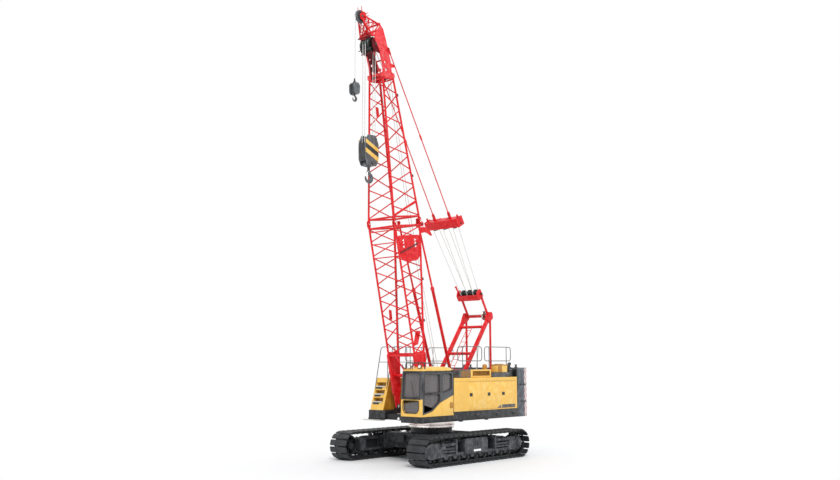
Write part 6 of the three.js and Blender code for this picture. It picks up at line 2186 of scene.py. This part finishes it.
@dataclass
class Hooks:
    """The two hooks, their blocks and the ropes that carry them."""

    block_z: float = 11.02
    hook_z: float = 13.42
    main_radius: float = 0.28

    def hook(self, shape: Shape, x: float, top: float, size: float) -> None:
        """Adds a forged hook whose shank's top is at a height."""
        centre = Vector((x, 0, top - size * 1.25))
        down = Vector((0, 0, -1))
        stations = [
            (Vector((x, 0, top)), down, size * 0.13),
            (Vector((x, 0, centre.z + size * 0.78)), down, size * 0.13),
            (Vector((x, 0, centre.z + size * 0.74)), down, size * 0.17),
            (Vector((x - size * 0.02, 0, centre.z + size * 0.6)), Vector((-0.3, 0, -1)).normalized(),
             size * 0.17),
        ]
        for i in range(19):
            angle = math.radians(120 + i * 14)
            reach = size * 0.43
            spot = centre + Vector((math.cos(angle), 0, math.sin(angle))) * reach
            heading = Vector((-math.sin(angle), 0, math.cos(angle)))
            t = i / 18
            swell, thin = math.sin(math.pi * min(1.0, t * 1.5)), max(0.0, t - 0.55) / 0.45
            thick = size * (0.178 + 0.045 * swell - 0.1 * thin)
            stations.append((spot, heading, thick))
        shape.sweep(stations, 18)
        shape.turned([
            (0, 0.02), (size * 0.22, 0.02), (size * 0.24, 0.0), (size * 0.24, -size * 0.12),
            (size * 0.2, -size * 0.16),
            (0, -size * 0.16),
        ][::-1], (x, 0, top + 0.01), UP, 24)

    def latch(self, shape: Shape, x: float, top: float, size: float) -> None:
        """Adds the safety latch across the throat."""
        cz = top - size * 1.25
        for s in (-size, size):
            shape.pipe([
                (x + size * 0.08, s * 0.1, cz + size * 0.66), (x + size * 0.3, s * 0.05, cz + size * 0.36),
                (x + size * 0.42, 0, cz + size * 0.2),
            ], size * 0.025, 0.03, 8)

    def main(self, shop: Shop) -> None:
        """The main block, its hook and its ropes."""
        head = boom_spot(*HEAD_PIN)
        x, z = head.x, self.block_z
        cheeks = Shape()
        outline = [
            (x - 0.33, z - 0.33), (x - 0.22, z - 0.56), (x + 0.22, z - 0.56), (x + 0.33, z - 0.33),
            (x + 0.34, z + 0.24), (x + 0.2, z + 0.555), (x - 0.2, z + 0.555), (x - 0.34, z + 0.24),
        ]
        for y in (-0.162, 0.162):
            gusset(cheeks, y, outline, 0.034, 0.05)
        for dx, dz in ((-0.24, 0.4), (0.24, 0.4), (-0.3, -0.12), (0.3, -0.12)):
            cheeks.tube((x + dx, -0.15, z + dz), (x + dx, 0.15, z + dz), 0.022, 12)
        cheeks.box((x - 0.2, -0.15, z - 0.55), (x + 0.2, 0.15, z - 0.42), 0.02, 2)
        shop.piece("main_block_cheeks", cheeks, Finish.HOOK, "main_hook", ["main_hook_block"])
        black = Shape()
        for sign in BOTH:
            edge = x + sign * 0.315
            black.box((edge - 0.02, -0.145, z - 0.42), (edge + 0.02, 0.145, z + 0.24), 0.012)
            black.disc((x, sign * 0.182, z), ACROSS, 0.085, 0.012, 0.004, 28)
            black.disc((x, sign * 0.182, z - 0.48), ACROSS, 0.05, 0.012, 0.004, 24)
        black.bolts([
            (x + dx, 0.179, z + dz) for dx in (-0.2, 0.2) for dz in (-0.46, 0.46)
        ], ACROSS, 0.02, 0.01)
        black.box((x - 0.2, -0.145, z - 0.42), (x + 0.2, 0.145, z - 0.3), 0.02)
        shop.piece("main_block_guards", black, Finish.BLACK, "main_hook")
        wheels = Shape()
        for y in (-0.06, 0.06):
            sheave(wheels, (x, y, z), self.main_radius, 0.085)
        wheels.tube((x, -0.19, z), (x, 0.19, z), 0.05, 22)
        shop.piece("main_block_sheaves", wheels, Finish.GREASED, "main_hook", smooth=30.0)
        for name, finish, bands in (
            ("yellow", Finish.YELLOW, ((-0.24, -0.08), (0.1, 0.24))),
            ("black", Finish.BLACK, ((-0.08, 0.1),)),
        ):
            shape = Shape()
            for sign in BOTH:
                low, high = sorted((sign * 0.179, sign * 0.182))
                for start, stop in bands:
                    shape.plate([
                        (x - 0.32, z + start - 0.14), (x + 0.32, z + start + 0.14),
                        (x + 0.325, z + stop + 0.14),
                        (x - 0.325, z + stop - 0.14),
                    ], Plane.SIDE, low, high, 0.0)
            shop.piece(f"main_block_{name}_bands", shape, finish, "main_hook")
        hook = Shape()
        self.hook(hook, x, z - 0.555, 0.34)
        shop.piece("main_forged_hook", hook, Finish.HOOK, "main_hook", ["main_hook"],
                   smooth=50.0)
        latch = Shape()
        self.latch(latch, x, z - 0.555, 0.34)
        shop.piece("main_hook_latch", latch, Finish.PIN, "main_hook")
        ropes = Shape()
        for y in (0.06, -0.06):
            for edge in BOTH:
                rope(ropes, (x + edge * 0.266, y, z + 0.02), (x + edge * 0.258, y, head.z), 0.0125, 18)
        obj = shop.loose("main_falls_rope", ropes, Finish.WIRE)
        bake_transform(obj)
        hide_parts("main_hoist_rope")

    def auxiliary(self, shop: Shop) -> None:
        """The auxiliary weight, its hook and its rope."""
        tip = boom_spot(*TIP_PIN)
        x, top = tip.x + TIP_RADIUS + 0.017, self.hook_z
        body = Shape().turned([
            (0, -0.47), (0.09, -0.47), (0.135, -0.4), (0.135, -0.13), (0.09, -0.06), (0.05, 0), (0, 0),
        ], (x, 0, top), UP, 8)
        shop.piece("auxiliary_weight", body, Finish.BLACK, "auxiliary_hook",
                   ["auxiliary_hook"], smooth=20.0)
        plates = Shape()
        for s in BOTH:
            gusset(plates, s * 0.115, [
                (x - 0.08, top - 0.48), (x + 0.08, top - 0.48), (x + 0.145, top - 0.39),
                (x + 0.145, top - 0.14),
                (x + 0.08, top - 0.05), (x - 0.08, top - 0.05), (x - 0.145, top - 0.14),
                (x - 0.145, top - 0.39),
            ], 0.04, 0.015)
        shop.piece("auxiliary_weight_plates", plates, Finish.HOOK, "auxiliary_hook")
        band = Shape().turned([
            (0, -0.01), (0.03, -0.01), (0.034, 0.05), (0.018, 0.12), (0, 0.12),
        ], (x, 0, top), UP, 18)
        shop.piece("auxiliary_weight_band", band, Finish.BLACK, "auxiliary_hook")
        hook = Shape()
        self.hook(hook, x, top - 0.385, 0.19)
        shop.piece("auxiliary_forged_hook", hook, Finish.HOOK, "auxiliary_hook", smooth=50.0)
        latch = Shape()
        self.latch(latch, x, top - 0.385, 0.19)
        shop.piece("auxiliary_hook_latch", latch, Finish.PIN, "auxiliary_hook")
        line = Shape()
        rope(line, (x - 0.016, 0, top + 0.05), (x - 0.016, 0, tip.z), 0.0125, 18)
        obj = shop.loose("auxiliary_rope", line, Finish.WIRE)
        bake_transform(obj)
        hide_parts("auxiliary_hoist_rope")

    def build(self, shop: Shop) -> None:
        """Builds both."""
        self.main(shop)
        self.auxiliary(shop)


@dataclass
class Winches:
    """The three drums with wound rope, the engine and the tanks."""

    half: float = 0.33

    def build(self, shop: Shop) -> None:
        """Builds the drums, the engine and the tanks."""
        drums = (("main", -0.06, 1.96, 0.175), ("auxiliary", -1.56, 1.99, 0.175),
                 ("luffing", -2.25, 1.99, 0.15))
        for name, x, z, radius in drums:
            rim, h = radius + 0.07, self.half
            shape = Shape().turned(there_and_back([
                (0, -h - 0.04), (0.06, -h - 0.04), (0.06, -h), (rim - 0.02, -h), (rim, -h + 0.008),
                (rim, -h + 0.02),
                (radius, -h + 0.025),
            ]), (x, 0, z), ACROSS, 40)
            for sign in BOTH:
                shape.bolts(circle(10, rim * 0.72, (x, sign * h, z), Plane.SIDE), (0, sign, 0), 0.012,
                            0.006)
            body = f"{name}_winch"
            shop.piece(f"{name}_drum", shape, Finish.ENGINE, body, [f"{name}_winch_drum"])
            wound = Shape()
            count = 24
            profile = [(radius - 0.004, -h + 0.03)]
            for i in range(count * 2 + 1):
                y = -h + 0.03 + (2 * h - 0.06) * i / (count * 2)
                profile.append((radius + (0.024 if i % 2 else 0.014), y))
            profile.append((radius - 0.004, h - 0.03))
            wound.turned(profile, (x, 0, z), ACROSS, 36, True)
            shop.piece(f"{name}_wound_rope", wound, Finish.WIRE, body, smooth=20.0)
        block = Shape().box((-2.25, 1.08, 1.85), (-1.5, 1.44, 2.42), 0.03, 2)
        block.box((-2.18, 1.14, 2.42), (-1.58, 1.38, 2.56), 0.03, 2)
        for i in range(4):
            block.tube((-2.1 + i * 0.16, 1.44, 2.3), (-2.1 + i * 0.16, 1.5, 2.2), 0.03, 12)
            block.box((-2.15 + i * 0.16, 1.43, 1.95), (-2.05 + i * 0.16, 1.46, 2.1), 0.01)
        block.tube((-2.3, 1.26, 2.05), (-2.62, 1.26, 2.05), 0.16, 28)
        block.tube((-2.0, 1.44, 2.35), (-1.6, 1.48, 2.35), 0.05, 16)
        for x in (-2.2, -1.55):
            block.box((x - 0.06, 1.02, 1.766), (x + 0.06, 1.5, 1.86), 0.01)
        shop.piece("engine_block", block, Finish.ENGINE, "upperworks", ["engine"])
        pipes = Shape()
        pipes.pipe([(-1.6, 1.4, 2.5), (-1.2, 1.45, 2.55), (-0.9, 1.45, 2.5)], 0.045, 0.12, 14)
        pipes.pipe([(-1.5, 1.2, 2.0), (-1.2, 1.2, 1.95), (-0.95, 1.25, 2.1)], 0.03, 0.1, 12)
        pipes.turned([(0, 0), (0.11, 0), (0.12, 0.02), (0.12, 0.4), (0.1, 0.42), (0, 0.42)],
                     (-1.28, 1.3, 1.98), UP, 24)
        shop.piece("engine_pipes", pipes, Finish.RUBBER, "upperworks")
        cooler = Shape().box((-0.85, 1.0, 1.83), (-0.7, 1.6, 2.6), 0.015)
        for i in range(16):
            cooler.box((-0.7, 1.03, 1.87 + i * 0.045), (-0.688, 1.57, 1.885 + i * 0.045), 0.0)
        cooler.box((-0.6, 0.98, 1.77), (-0.2, 1.6, 2.1), 0.02, 2)
        shop.piece("engine_cooler", cooler, Finish.BLACK, "upperworks")
        tank = Shape().box((-2.6, -1.6, 1.775), (-1.9, -1.0, 2.7), 0.05, 3)
        tank.box((-1.4, -1.6, 1.775), (-0.6, -1.05, 2.45), 0.05, 3)
        for x in (-2.25, -1.0):
            tank.disc((x, -1.3, 2.72 if x < -2 else 2.47), UP, 0.07, 0.05, 0.01, 20)
        shop.piece("tanks", tank, Finish.CREAM, "upperworks")


# ---------------------------------------------------------------- studio
@dataclass
class Studio:
    """The camera, the lights, the floor and the background."""

    position: tuple[float, float, float] = (26.134, 22.777, 3.498)
    yaw: float = 221.77
    pitch: float = 7.62
    roll: float = -0.0015
    lens: float = 39.28
    sensor: float = 36.0
    sun: float = 1.7
    sky: float = 0.62

    def camera(self) -> None:
        """The camera."""
        yaw, pitch = math.radians(self.yaw), math.radians(self.pitch)
        look = Vector((math.cos(yaw) * math.cos(pitch), math.sin(yaw) * math.cos(pitch), math.sin(pitch)))
        data = bpy.data.cameras.new("camera")
        data.sensor_fit = "HORIZONTAL"
        data.sensor_width = self.sensor
        data.lens = self.lens
        data.clip_end = 300.0
        turn = look.to_track_quat("-Z", "Y").to_matrix().to_4x4() @ Matrix.Rotation(self.roll, 4, "Z")
        obj = bpy.data.objects.new("camera", data)
        obj.matrix_world = Matrix.Translation(framed(self.position)) @ turn
        bpy.context.scene.collection.objects.link(obj)
        bpy.context.scene.camera = obj

    def lights(self) -> None:
        """A broad sun from the camera's left, and a weak one from behind."""
        for name, strength, spread, heading in (
            ("key_light", self.sun, 22.0, (-0.55, -0.62, -0.85)),
            ("fill_light", self.sun * 0.3, 60.0, (0.8, 0.1, -0.6)),
        ):
            data = bpy.data.lights.new(name, "SUN")
            data.energy = strength
            data.angle = math.radians(spread)
            obj = bpy.data.objects.new(name, data)
            obj.matrix_world = Vector(heading).to_track_quat("-Z", "Y").to_matrix().to_4x4()
            bpy.context.scene.collection.objects.link(obj)

    def world(self) -> None:
        """A plain sky that is white where it is seen."""
        world = bpy.data.worlds.new("world")
        world.use_nodes = True
        tree = world.node_tree
        tree.nodes.clear()
        out = tree.nodes.new("ShaderNodeOutputWorld")
        lit, seen = tree.nodes.new("ShaderNodeBackground"), tree.nodes.new("ShaderNodeBackground")
        lit.inputs[0].default_value = (0.94, 0.97, 1.0, 1.0)
        lit.inputs[1].default_value = self.sky
        seen.inputs[0].default_value = (1.0, 1.0, 1.0, 1.0)
        seen.inputs[1].default_value = 1.0
        path = tree.nodes.new("ShaderNodeLightPath")
        add = [tree.nodes.new("ShaderNodeMath") for _ in range(2)]
        for node in add:
            node.operation = "MAXIMUM"
        tree.links.new(path.outputs["Is Camera Ray"], add[0].inputs[0])
        tree.links.new(path.outputs["Is Glossy Ray"], add[0].inputs[1])
        tree.links.new(add[0].outputs[0], add[1].inputs[0])
        tree.links.new(path.outputs["Is Transmission Ray"], add[1].inputs[1])
        mix = tree.nodes.new("ShaderNodeMixShader")
        tree.links.new(add[1].outputs[0], mix.inputs[0])
        tree.links.new(lit.outputs[0], mix.inputs[1])
        tree.links.new(seen.outputs[0], mix.inputs[2])
        tree.links.new(mix.outputs[0], out.inputs[0])
        bpy.context.scene.world = world

    def floor(self) -> None:
        """A pale floor that turns white further out."""
        part = bmesh.new()
        bmesh.ops.create_circle(part, cap_ends=True, segments=64, radius=120.0)
        data = bpy.data.meshes.new("studio_floor")
        part.to_mesh(data)
        part.free()
        look = Look("floor")
        grain = look.noise(3.0, 2.0)
        look.shade(base_color=look.mix(grain, tint("f4f4f4"), tint("fafafa")), roughness=0.75)
        tree = look.tree
        white = tree.nodes.new("ShaderNodeEmission")
        white.inputs[0].default_value = (1.0, 1.0, 1.0, 1.0)
        away = look.node("ShaderNodeVectorMath", {"operation": "LENGTH"}, {0: look.place()},
                         1).rise(5.5, 9.0)
        output = next(node for node in tree.nodes if node.type == "OUTPUT_MATERIAL")
        mix = tree.nodes.new("ShaderNodeMixShader")
        look.feed(mix.inputs[0], away)
        tree.links.new(look.shader.outputs[0], mix.inputs[1])
        tree.links.new(white.outputs[0], mix.inputs[2])
        tree.links.new(mix.outputs[0], output.inputs[0])
        data.materials.append(look.material)
        obj = bpy.data.objects.new("studio_floor", data)
        bpy.context.scene.collection.objects.link(obj)

    def build(self) -> None:
        """Builds the studio."""
        scene = bpy.context.scene
        scene.view_settings.view_transform = "Standard"
        self.camera()
        self.lights()
        self.world()
        self.floor()


def main() -> None:
    """Builds the crane and the studio."""
    logging.basicConfig(level=logging.INFO, format="%(message)s")
    Studio().build()
    shop = Shop()
    for assembly in (
        CrawlerTracks(), CarBody(), Cab(), Housings(), Counterweight(), RoofItems(), Gantry(), Backstops(),
        Tackle(), Boom(), Hooks(), Winches(),
    ):
        assembly.build(shop)
        LOG.info("%s done, %d pieces so far", type(assembly).__name__, shop.pieces)
    LOG.info("%d pieces, %d triangles", shop.pieces, shop.triangles)


if __name__ == "__main__":
    main()
